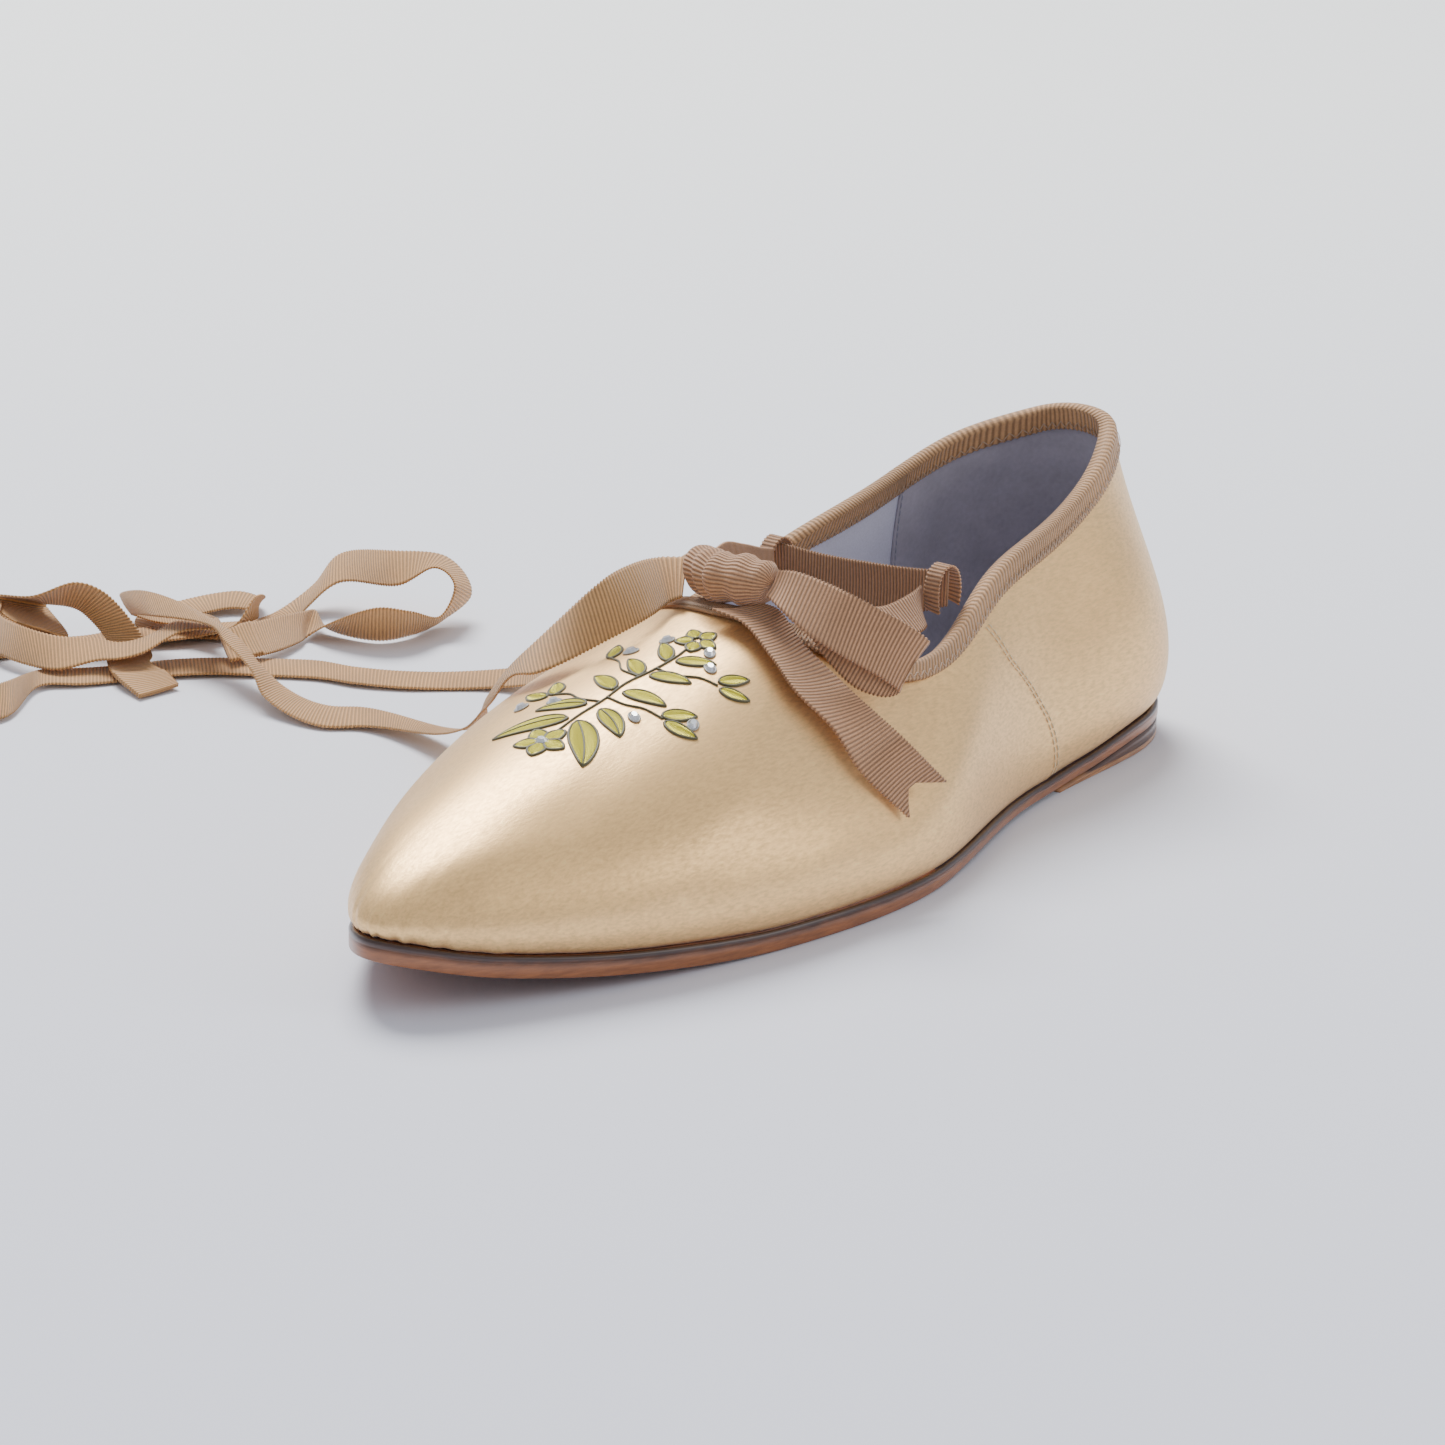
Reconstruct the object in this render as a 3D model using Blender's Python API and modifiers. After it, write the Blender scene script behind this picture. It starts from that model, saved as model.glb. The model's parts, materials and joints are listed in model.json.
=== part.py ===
# Regency slipper, right foot: a satin upper on a leather sole, bound and tied with grosgrain ribbon.
# The toe points to -Y, +X is the inner side of the foot and the sole stands on the plane z = 0.
import math

import bpy
import numpy as np

MM = 0.001

# Driving sizes of the last and the sole
SOLE_LENGTH = 262.0 * MM
BALL_WIDTH = 93.0 * MM
TIP_SWING = 13.2 * MM
TOE_SPRING = 11.0 * MM
ARCH_RISE = 0.9 * MM
SOLE_THICKNESS = 4.5 * MM
HEEL_LIFT_HEIGHT = 4.4 * MM
HEEL_LIFT_LENGTH = 62.0 * MM
EDGE_ROUNDING = 0.8 * MM

# Driving sizes of the upper
BACK_HEIGHT = 74.5 * MM
BACK_OVERHANG = 15.6 * MM
THROAT_LINE = 143.2 * MM
THROAT_WIDTH = 66.0 * MM
THROAT_LEAN = 3.2 * MM
WALL = 1.8 * MM
FEATHER_INSET = 1.2 * MM
FEATHER_TUCK = 1.3 * MM
TUCK_DEPTH = 6.0 * MM

# Insole, binding and the clearance between neighbouring pieces
CLEARANCE = 0.3 * MM
INSOLE_THICKNESS = 2.0 * MM
BINDING_DEPTH = 5.4 * MM
BINDING_THICKNESS = 0.7 * MM

# Ribbon of the tie, and the knot over the throat
RIBBON_THICKNESS = 0.7 * MM
KNOT_LENGTH = 23.0 * MM
KNOT_DEPTH = 10.0 * MM
KNOT_HEIGHT = 9.4 * MM
KNOT_PLACE = (-2.2 * MM, -12.5 * MM, 61.4 * MM)

# Numbers of stations round the outline and up the wall
AROUND = 72
RISE = 13

# Sole outline, heel back (0) to toe tip (1) by turn: swell on the inner and the outer side,
# as shares of half the ball width
OUTLINE = {
    "turn": (0.0, 0.08, 0.16, 0.26, 0.38, 0.50, 0.60, 0.70, 0.80, 0.90, 1.0),
    "inner": (1.35, 1.23, 1.08, 0.86, 0.79, 1.02, 1.03, 0.94, 0.81, 0.70, 0.63),
    "outer": (1.35, 1.22, 1.06, 0.87, 0.80, 0.94, 0.99, 0.98, 0.84, 0.71, 0.63),
}

# Sole profile by share of the length from the heel: rise of the toe, of the arch and of the lift,
# and the thickness of the outsole, each as a share of its own size
PROFILE = {
    "along": (0.0, 0.10, 0.20, 0.27, 0.35, 0.43, 0.52, 0.68, 0.80, 0.92, 1.0),
    "spring": (0.0, 0.0, 0.0, 0.0, 0.0, 0.0, 0.0, 0.0, 0.16, 0.53, 1.0),
    "arch": (0.0, 0.0, 0.5, 1.0, 1.0, 0.8, 0.0, 0.0, 0.0, 0.0, 0.0),
    "lift": (1.0, 0.90, 0.24, 0.0, 0.0, 0.0, 0.0, 0.0, 0.0, 0.0, 0.0),
    "thick": (0.73, 0.73, 0.70, 0.67, 0.67, 0.73, 0.92, 1.0, 1.02, 1.02, 1.0),
}

# Topline, back (0) to throat (1) by turn: swell as a share of half the throat width and
# height as a share of the back height
TOPLINE = {
    "turn": (0.0, 0.12, 0.25, 0.38, 0.50, 0.62, 0.75, 0.88, 1.0),
    "swell": (1.18, 0.89, 0.81, 0.755, 0.77, 0.99, 1.18, 1.15, 1.13),
    "height": (0.99, 0.962, 0.90, 0.79, 0.71, 0.60, 0.59, 0.70, 0.74),
}

# Ribs of the upper, from the feather edge to the topline, by turn: the turn that each reaches on
# the topline, its lean at the feather edge and its climb at the topline in degrees, and the two
# handle lengths as shares of the back height
RIBS = {
    "turn": (0.0, 0.20, 0.40, 0.55, 0.70, 0.85, 1.0),
    "reach": (0.0, 0.28, 0.45, 0.67, 0.87, 0.95, 1.0),
    "lean": (11.0, 21.0, 6.0, 11.0, 17.0, 15.0, 20.0),
    "foot_handle": (0.31, 0.31, 0.19, 0.22, 0.33, 0.26, 0.20),
    "climb": (82.0, 77.0, 78.0, 50.0, 13.0, 14.0, 13.0),
    "top_handle": (0.27, 0.28, 0.20, 0.31, 0.30, 0.515, 0.60),
}

# Ribbons by fold, from their start, in millimetres: x, y and z of the right edge, then of the left
RIGHT_EDGE = slice(0, 3)
LEFT_EDGE = slice(3, 6)

# Long tie in front: over the vamp, along the floor, up over the back tie, round two curls and
# an arch to its square end
TIE_FRONT = (
    (-17.0, -8.0, 61.0, -10.0, -18.0, 56.2),
    (-21.0, -12.0, 61.0, -12.0, -19.5, 55.0),
    (-19.5, -24.5, 62.0, -11.0, -28.0, 53.6),
    (-18.5, -35.0, 60.5, -13.0, -36.5, 51.0),
    (-28.5, -43.5, 47.5, -20.0, -51.5, 45.2),
    (-34.0, -44.0, 42.0, -27.0, -51.0, 43.0),
    (-46.0, -38.0, 32.0, -40.0, -44.0, 33.0),
    (-66.0, -17.0, 18.5, -62.0, -25.0, 20.0),
    (-92.0, 3.0, 5.0, -87.0, -7.0, 7.5),
    (-126.0, 8.0, 1.6, -117.5, -1.0, 1.2),
    (-133.0, 3.0, 2.0, -126.0, -7.0, 1.2),
    (-148.5, 5.0, 2.5, -143.5, -6.5, 4.0),
    (-158.0, 7.0, 5.0, -151.5, -3.0, 8.0),
    (-171.0, 12.0, 9.0, -165.0, 2.0, 11.5),
    (-182.0, 13.0, 11.5, -172.0, 5.0, 12.8),
    (-203.5, 14.5, 13.0, -193.5, 7.5, 10.5),
    (-219.5, 21.0, 8.0, -209.0, 14.5, 6.5),
    (-223.0, 26.0, 4.8, -212.5, 19.5, 4.4),
    (-216.0, 27.0, 4.6, -206.0, 18.5, 4.6),
    (-194.5, 27.0, 6.0, -184.5, 19.5, 6.0),
    (-187.0, 20.0, 8.2, -178.5, 12.0, 9.2),
    (-191.5, 14.5, 8.5, -183.0, 6.0, 9.0),
    (-192.5, 2.0, 6.5, -184.0, -6.5, 6.5),
    (-195.0, -3.0, 6.0, -187.0, -10.5, 5.5),
    (-200.5, -6.0, 6.5, -192.0, -13.0, 4.5),
    (-205.0, -13.5, 7.5, -197.0, -20.5, 2.8),
    (-213.5, -16.5, 9.0, -205.0, -22.0, 2.6),
    (-224.5, -13.5, 9.0, -216.0, -21.5, 3.2),
    (-232.0, -6.0, 9.0, -227.0, -17.0, 4.5),
    (-239.0, 1.0, 7.0, -236.5, -10.5, 3.6),
    (-231.0, 7.0, 4.6, -227.0, -4.0, 2.8),
    (-222.5, -9.0, 6.5, -214.0, -2.0, 3.2),
    (-235.0, -6.0, 10.0, -227.5, 4.0, 7.0),
    (-219.5, -7.5, 13.5, -226.0, 2.0, 8.5),
    (-211.5, -1.0, 17.0, -219.0, 3.5, 9.0),
    (-206.0, 2.5, 15.0, -215.5, 4.5, 8.0),
    (-190.0, 2.0, 4.0, -201.0, 0.0, 3.0),
    (-184.0, -4.0, 3.5, -193.5, -8.0, 2.8),
    (-178.0, -5.0, 2.6, -185.0, -14.0, 2.4),
    (-171.5, -7.0, 1.2, -172.0, -18.5, 1.0),
)

# Long tie behind: down to the floor, under the front tie, round a curl, a small and a wide loop
TIE_BACK = (
    (-19.0, 2.0, 61.0, -18.5, -5.0, 57.5),
    (-28.0, 5.0, 57.0, -26.0, -5.0, 53.0),
    (-62.0, 21.0, 34.0, -58.0, 10.0, 31.0),
    (-85.0, 38.0, 18.0, -79.0, 28.0, 17.0),
    (-119.0, 53.0, 2.5, -111.0, 43.5, 2.0),
    (-141.0, 36.5, 1.0, -133.0, 27.0, 1.0),
    (-151.0, 31.0, 1.0, -142.5, 22.0, 1.0),
    (-163.0, 28.0, 1.2, -154.0, 19.0, 1.0),
    (-186.0, 8.0, 1.0, -177.0, 0.0, 1.0),
    (-198.0, -12.0, 1.0, -189.0, -20.5, 1.0),
    (-203.0, -20.0, 1.2, -194.5, -28.0, 1.2),
    (-191.0, -42.0, 6.0, -183.0, -50.0, 1.2),
    (-192.5, -50.0, 5.0, -186.0, -59.0, 1.5),
    (-202.0, -51.0, 2.5, -201.0, -62.0, 1.2),
    (-213.0, -43.0, 1.2, -221.0, -52.0, 1.0),
    (-219.0, -18.0, 1.0, -231.0, -17.0, 1.0),
    (-207.0, -1.0, 1.0, -217.0, 6.0, 1.0),
    (-203.0, 7.0, 1.8, -212.5, 15.0, 1.8),
    (-189.0, 29.0, 4.2, -194.5, 37.0, 2.4),
    (-190.5, 37.0, 9.0, -195.0, 42.0, 2.2),
    (-206.0, 55.0, 2.5, -202.0, 47.5, 1.8),
    (-214.0, 54.0, 2.5, -206.5, 45.0, 1.8),
    (-220.5, 28.0, 1.0, -210.0, 30.0, 1.0),
    (-210.0, 19.5, 1.0, -206.5, 30.5, 1.0),
    (-195.0, 24.0, 1.0, -200.0, 34.5, 1.0),
    (-187.0, 34.0, 1.0, -197.5, 40.5, 1.0),
    (-188.5, 49.0, 1.4, -199.0, 55.0, 1.0),
    (-189.5, 54.5, 3.5, -197.0, 64.5, 5.5),
    (-188.0, 63.5, 8.0, -196.0, 72.0, 11.5),
    (-169.0, 65.0, 11.0, -177.0, 73.0, 16.0),
    (-164.0, 72.0, 14.5, -170.0, 83.0, 13.5),
    (-155.5, 70.0, 12.0, -160.0, 80.5, 7.0),
    (-154.0, 63.5, 6.0, -162.5, 71.5, 1.0),
    (-154.0, 53.0, 9.5, -161.0, 59.5, 1.0),
    (-158.5, 46.5, 11.0, -164.0, 52.0, 1.0),
    (-169.5, 42.0, 6.0, -178.5, 49.5, 1.5),
    (-177.0, 41.7, 1.4, -184.3, 51.6, 4.0),
    (-174.5, 36.0, 1.6, -182.5, 45.0, 5.5),
    (-170.5, 19.5, 3.0, -180.0, 24.5, 7.4),
    (-172.0, 10.5, 3.0, -181.5, 16.5, 6.2),
)

# Short end of the bow, from under the knot down the inner side of the vamp
BOW_TAIL = (
    (7.0, -13.5, 57.3, 1.5, -22.0, 56.6),
    (10.5, -11.5, 55.8, 9.5, -22.0, 55.6),
    (19.0, -13.8, 50.6, 20.0, -25.0, 50.6),
    (29.5, -13.5, 44.0, 27.0, -26.0, 45.0),
    (35.0, -10.5, 38.8, 34.0, -22.0, 37.5),
    (42.5, -10.5, 35.0, 40.0, -20.8, 30.0),
    (47.5, -2.0, 24.5, 46.2, -12.4, 19.2),
)

# Loop of the bow, from the knot out over the inner topline and back underneath
BOW_LOOP = (
    (9.9, -11.2, 64.0, 10.0, -15.0, 59.8),
    (13.5, -9.5, 64.0, 16.0, -17.5, 58.5),
    (19.5, -6.5, 62.0, 21.5, -15.8, 54.2),
    (24.5, -5.0, 60.2, 25.5, -12.6, 50.8),
    (29.0, -1.5, 57.2, 29.0, -8.8, 47.6),
    (33.5, 2.5, 53.8, 32.5, -4.5, 44.2),
    (36.0, 6.0, 50.0, 34.5, -1.5, 41.0),
    (33.5, 4.5, 48.8, 33.0, -3.5, 40.2),
    (29.0, 0.5, 50.0, 29.0, -8.0, 42.0),
    (24.0, -3.5, 53.2, 24.5, -10.8, 46.4),
    (19.5, -6.0, 56.4, 19.5, -11.8, 52.0),
    (14.0, -8.5, 59.0, 14.5, -11.5, 56.0),
)

# Ribbon from the knot to the outer side loop, across the throat and back from the inner one
FAR_BAND = (
    (-10.5, -8.2, 63.3, -9.0, -8.2, 58.8),
    (-13.5, 0.0, 63.2, -12.5, -1.5, 54.5),
    (-18.5, 12.0, 59.5, -17.0, 10.0, 50.5),
    (-23.5, 23.5, 55.5, -22.0, 22.0, 47.5),
    (-26.5, 32.0, 53.0, -25.5, 31.5, 45.5),
)
THROAT_BAND = (
    (-31.5, 38.0, 52.6, -31.0, 38.0, 45.5),
    (-18.0, 38.0, 52.2, -17.5, 37.0, 43.4),
    (-4.0, 37.5, 53.0, -3.0, 36.5, 43.8),
    (8.0, 37.2, 54.0, 8.5, 36.5, 45.0),
    (17.2, 37.0, 55.2, 17.2, 36.8, 48.0),
)
RETURN_BAND = (
    (13.0, 33.2, 52.0, 14.0, 31.6, 46.2),
    (14.5, 27.0, 51.5, 19.0, 27.0, 45.8),
    (14.4, 18.0, 50.8, 20.5, 18.5, 45.6),
    (12.5, 8.0, 53.5, 17.0, 7.0, 48.0),
    (9.5, -1.0, 58.5, 12.0, -3.0, 53.5),
    (7.5, -7.0, 62.5, 8.5, -7.5, 58.5),
)

# Ribbon loops inside the topline that hold the tie
SIDE_LOOP_INNER = (
    (17.6, 33.6, 46.6, 14.2, 33.6, 47.4),
    (17.6, 33.2, 51.0, 14.2, 33.2, 51.0),
    (17.6, 34.4, 55.0, 14.2, 34.4, 55.0),
    (17.6, 37.0, 56.4, 14.2, 37.0, 56.4),
    (17.6, 39.6, 55.0, 14.2, 39.6, 55.0),
    (17.6, 40.8, 51.0, 14.2, 40.8, 51.0),
    (17.6, 40.4, 47.4, 14.2, 40.4, 48.2),
)
SIDE_LOOP_OUTER = (
    (-28.8, 34.8, 46.2, -32.2, 34.8, 45.4),
    (-28.8, 34.2, 49.0, -32.2, 34.2, 49.0),
    (-28.8, 35.4, 52.4, -32.2, 35.4, 52.4),
    (-28.8, 38.0, 53.8, -32.2, 38.0, 53.8),
    (-28.8, 40.6, 52.4, -32.2, 40.6, 52.4),
    (-28.8, 41.8, 49.0, -32.2, 41.8, 49.0),
    (-28.8, 41.2, 47.0, -32.2, 41.2, 46.2),
)


# Smooth curve through a table's columns, without overshoot between equal rows; it starts and
# ends level, or with free ends on the slope of the last rows
def column(table, key, value, at, free=False):
    xs = np.array(table[key])
    ys = np.array(table[value])
    step = np.diff(xs)
    rise = np.diff(ys) / step
    slope = np.zeros(len(xs))
    for i in range(1, len(xs) - 1):
        if rise[i - 1] * rise[i] > 0:
            before = 2 * step[i] + step[i - 1]
            after = step[i] + 2 * step[i - 1]
            slope[i] = (before + after) / (before / rise[i - 1] + after / rise[i])
    if free:
        slope[0] = rise[0]
        slope[-1] = rise[-1]
    at = np.clip(at, xs[0], xs[-1])
    i = np.clip(np.searchsorted(xs, at, side="right") - 1, 0, len(step) - 1)
    u = (at - xs[i]) / step[i]
    start = ys[i] * (1 + 2 * u) * (1 - u) ** 2 + ys[i + 1] * (3 - 2 * u) * u ** 2
    bend = slope[i] * u * (1 - u) ** 2 - slope[i + 1] * (1 - u) * u ** 2
    return start + bend * step[i]


# Cubic spline through a table's columns, level at both ends, for the flowing outlines
def flowing(table, key, value, at):
    xs = np.array(table[key])
    ys = np.array(table[value])
    step = np.diff(xs)
    count = len(xs)
    system = np.eye(count)
    right = np.zeros(count)
    for i in range(1, count - 1):
        system[i, i - 1:i + 2] = (step[i - 1], 2 * (step[i - 1] + step[i]), step[i])
        right[i] = 6 * ((ys[i + 1] - ys[i]) / step[i] - (ys[i] - ys[i - 1]) / step[i - 1])
    system[0, 0:2] = (2 * step[0], step[0])
    right[0] = 6 * (ys[1] - ys[0]) / step[0]
    system[-1, -2:] = (step[-1], 2 * step[-1])
    right[-1] = -6 * (ys[-1] - ys[-2]) / step[-1]
    bend = np.linalg.solve(system, right)
    i = np.clip(np.searchsorted(xs, at, side="right") - 1, 0, count - 2)
    before = xs[i + 1] - at
    after = at - xs[i]
    curve = (bend[i] * before ** 3 + bend[i + 1] * after ** 3) / (6 * step[i])
    curve += (ys[i] / step[i] - bend[i] * step[i] / 6) * before
    return curve + (ys[i + 1] / step[i] - bend[i + 1] * step[i] / 6) * after


# A turn runs from 0 at the heel back, over the inner side, to 1 at the toe and back to 2
def fold(turn):
    turn = np.mod(turn, 2.0)
    return np.where(turn <= 1, turn, 2 - turn), np.where(turn <= 1, 1.0, -1.0)


def along_of(turn):
    half, side = fold(turn)
    return (1 - np.cos(half * math.pi)) / 2


def turns(count):
    return np.arange(count) * 2.0 / count


# Sideways place of the outline, from the line through the middle of the heel
def spread(turn):
    half, side = fold(turn)
    inner = flowing(OUTLINE, "turn", "inner", half)
    outer = flowing(OUTLINE, "turn", "outer", half)
    swell = np.where(side > 0, inner, outer) * BALL_WIDTH / 2
    return side * np.sin(half * math.pi) * swell + TIP_SWING * along_of(turn) ** 2


# The shoe stands with the middle of its width at x = 0
MIDDLE = (spread(turns(AROUND)).max() + spread(turns(AROUND)).min()) / 2


def swing(along):
    return TIP_SWING * along ** 2 - MIDDLE


def outline(turn):
    return spread(turn) - MIDDLE, SOLE_LENGTH * (0.5 - along_of(turn))


def outward(turn):
    small = 1e-3
    x0, y0 = outline(turn - small)
    x1, y1 = outline(turn + small)
    size = np.hypot(x1 - x0, y1 - y0)
    return (y0 - y1) / size, (x1 - x0) / size


def lift_top(along):
    return HEEL_LIFT_HEIGHT * column(PROFILE, "along", "lift", along)


def sole_bottom(along):
    spring = TOE_SPRING * column(PROFILE, "along", "spring", along, free=True)
    arch = ARCH_RISE * column(PROFILE, "along", "arch", along)
    lift = column(PROFILE, "along", "lift", along)
    return spring + arch + lift_top(along) + CLEARANCE * np.minimum(lift * 5, 1)


def sole_top(along):
    return sole_bottom(along) + SOLE_THICKNESS * column(PROFILE, "along", "thick", along)


def ring(turn, inset, height):
    x, y = outline(turn)
    across, ahead = outward(turn)
    return np.stack([x - across * inset, y - ahead * inset, height], -1)


def feather(turn):
    return ring(turn, FEATHER_INSET, sole_top(along_of(turn)) + CLEARANCE)


def topline(turn):
    half, side = fold(turn)
    back = SOLE_LENGTH / 2 - BACK_OVERHANG
    front = SOLE_LENGTH / 2 - THROAT_LINE
    y = back - (back - front) * (1 - np.cos(half * math.pi)) / 2
    swell = flowing(TOPLINE, "turn", "swell", half) * THROAT_WIDTH / 2
    across = np.sin(half * math.pi)
    x = side * across * swell + swing(0.5 - y / SOLE_LENGTH) - THROAT_LEAN * across ** 2
    return np.stack([x, y, BACK_HEIGHT * flowing(TOPLINE, "turn", "height", half)], -1)


# Outer face of the upper at a turn and a rise from the feather edge (0) to the topline (1)
def upper_face(turn, rise):
    turn = np.asarray(turn, float)
    half, side = fold(turn)
    reach = column(RIBS, "turn", "reach", half, free=True)
    foot = feather(turn)
    top = topline(np.where(side > 0, reach, 2 - reach))
    across, ahead = outward(turn)
    out = np.stack([across, ahead, np.zeros_like(across)], -1)
    up = np.array([0.0, 0.0, 1.0])
    lean = np.radians(column(RIBS, "turn", "lean", half))[..., None]
    climb = np.radians(column(RIBS, "turn", "climb", half))[..., None]
    foot_handle = (BACK_HEIGHT * column(RIBS, "turn", "foot_handle", half))[..., None]
    top_handle = (BACK_HEIGHT * column(RIBS, "turn", "top_handle", half))[..., None]
    chord = top - foot
    chord[..., 2] = 0
    chord /= np.linalg.norm(chord, axis=-1, keepdims=True)
    blend = np.clip((half - 0.3) / 0.4, 0, 1)[..., None]
    blend = blend * blend * (3 - 2 * blend)
    inward = chord * blend - out * (1 - blend)
    inward /= np.linalg.norm(inward, axis=-1, keepdims=True)
    first = foot + foot_handle * (out * np.sin(lean) + up * np.cos(lean))
    second = top - top_handle * (inward * np.cos(climb) + up * np.sin(climb))
    rise = np.asarray(rise, float)[..., None]
    face = (1 - rise) ** 3 * foot + 3 * (1 - rise) ** 2 * rise * first
    face += 3 * (1 - rise) * rise ** 2 * second + rise ** 3 * top
    above = (face - foot)[..., 2:]
    return face + out * FEATHER_TUCK * (1 - np.exp(-np.maximum(above, 0) / TUCK_DEPTH * 3))


# Rise at which a rib is still the given distance below the topline
def rise_below(turn, distance):
    half, side = fold(turn)
    handle = BACK_HEIGHT * column(RIBS, "turn", "top_handle", half)
    return 1 - distance / (3 * handle)


def face_normal(turn, rise):
    small = 1e-3
    along = upper_face(turn + small, rise) - upper_face(turn - small, rise)
    upward = upper_face(turn, rise) - upper_face(turn, rise - 2 * small)
    normal = np.cross(upward, along)
    return normal / np.linalg.norm(normal, axis=-1, keepdims=True)


def material(name, colour, roughness, metallic=0.0):
    made = bpy.data.materials.new(name)
    made.use_nodes = True
    shader = made.node_tree.nodes["Principled BSDF"]
    shader.inputs["Base Color"].default_value = (*colour, 1.0)
    shader.inputs["Roughness"].default_value = roughness
    shader.inputs["Metallic"].default_value = metallic
    return made


def piece(name, verts, faces, finish):
    mesh = bpy.data.meshes.new(name)
    mesh.from_pydata([tuple(v) for v in verts], [], faces)
    mesh.update()
    mesh.shade_smooth()
    mesh.set_sharp_from_angle(angle=math.radians(40))
    made = bpy.data.objects.new(name, mesh)
    made.data.materials.append(finish)
    shoe.objects.link(made)
    return made


def wall(made, thickness, offset):
    shell = made.modifiers.new("wall", "SOLIDIFY")
    shell.thickness = thickness
    shell.offset = offset
    shell.use_even_offset = True


# Faces between rings of points that follow one another, closed round each ring
def ring_faces(rings, count):
    faces = []
    for row in range(rings - 1):
        for i in range(count):
            j = (i + 1) % count
            low = row * count
            high = low + count
            faces.append((low + i, high + i, high + j, low + j))
    return faces


# Faces across a ring of points, from the inner side to the outer side
def cap_faces(start, count, upward):
    half = count // 2
    faces = []
    for i in range(half):
        j = (count - i) % count
        face = (start + i, start + i + 1, start + count - i - 1, start + j)
        if i == 0:
            face = (start, start + 1, start + count - 1)
        if i == half - 1:
            face = (start + i, start + i + 1, start + j)
        faces.append(face[::-1] if upward else face)
    return faces


# Leather outsole in one length, its upper edge rounded and its lower edge nearly square
def make_outsole():
    turn = turns(AROUND)
    along = along_of(turn)
    low = sole_bottom(along)
    top = sole_top(along)
    soft = EDGE_ROUNDING
    rings = [
        ring(turn, soft * 0.5, low),
        ring(turn, 0, low + soft * 0.5),
        ring(turn, 0, top - soft),
        ring(turn, soft * 0.3, top - soft * 0.3),
        ring(turn, soft, top),
    ]
    faces = ring_faces(len(rings), AROUND)
    faces += cap_faces(0, AROUND, False)
    faces += cap_faces((len(rings) - 1) * AROUND, AROUND, True)
    return piece("outsole", np.concatenate(rings), faces, brown)


# Wedge under the heel seat, tapering to the waist, with a flat underside
def make_heel_lift():
    reach = math.acos(1 - 2 * HEEL_LIFT_LENGTH / SOLE_LENGTH) / math.pi
    count = 25
    turn = np.linspace(-reach, reach, count)
    along = along_of(turn)
    under = np.zeros(count)
    rings = [
        ring(turn, EDGE_ROUNDING * 0.8, under),
        ring(turn, EDGE_ROUNDING * 0.3, under + EDGE_ROUNDING * 0.5),
        ring(turn, EDGE_ROUNDING * 0.3, lift_top(along)),
    ]
    faces = []
    for row in range(2):
        for i in range(count):
            j = (i + 1) % count
            low = row * count
            faces.append((low + i, low + count + i, low + count + j, low + j))
    last = 2 * count
    for i in range(count // 2):
        j = count - 1 - i
        bottom = (i, i + 1, j - 1, j) if i + 1 < j - 1 else (i, i + 1, j)
        faces.append(bottom)
        faces.append(tuple(last + k for k in bottom[::-1]))
    return piece("heel_lift", np.concatenate(rings), faces, lift_brown)


# Satin upper: an open surface over the last, given its wall towards the inside
def make_upper():
    turn = turns(AROUND)
    bound = rise_below(turn, BINDING_DEPTH)
    rises = [bound * share for share in np.linspace(0, 1, RISE) ** 1.25]
    for depth in (BINDING_DEPTH * 0.6, BINDING_THICKNESS + 2 * CLEARANCE):
        rises.append(rise_below(turn, depth))
    rows = [upper_face(turn, rise) for rise in rises]
    made = piece("upper", np.concatenate(rows), ring_faces(len(rows), AROUND), satin)
    wall(made, WALL, -1)
    return made


# Insole on the outsole, inside the wall of the upper
def make_insole():
    turn = turns(AROUND)
    base = sole_top(along_of(turn)) + CLEARANCE
    inset = FEATHER_INSET + WALL + 2.5 * CLEARANCE
    rings = [
        ring(turn, inset, base),
        ring(turn, inset, base + INSOLE_THICKNESS * 0.6),
        ring(turn, inset + INSOLE_THICKNESS * 0.4, base + INSOLE_THICKNESS),
    ]
    faces = ring_faces(len(rings), AROUND)
    faces += cap_faces(0, AROUND, False)
    faces += cap_faces((len(rings) - 1) * AROUND, AROUND, True)
    return piece("insole", np.concatenate(rings), faces, lining)


# Ribbon binding folded over the topline: a sheet round the edge with its own thickness
def make_binding():
    turn = turns(AROUND)
    half = BINDING_THICKNESS / 2
    outside = CLEARANCE + half
    inside = -WALL - CLEARANCE - half
    over = CLEARANCE + BINDING_THICKNESS
    rows = []
    for depth, out in (
        (BINDING_DEPTH, outside),
        (BINDING_DEPTH * 0.6, outside),
        (over + CLEARANCE, outside),
        (half + CLEARANCE, outside * 0.5),
        (half, -WALL / 2),
        (half + CLEARANCE, inside - outside * 0.5),
        (over + CLEARANCE, inside),
        (BINDING_DEPTH * 0.6, inside),
        (BINDING_DEPTH, inside),
    ):
        rise = rise_below(turn, depth)
        rows.append(upper_face(turn, rise) + face_normal(turn, rise) * out)
    made = piece("topline_binding", np.concatenate(rows), ring_faces(len(rows), AROUND), grosgrain)
    wall(made, BINDING_THICKNESS, 0)
    return made


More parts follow.
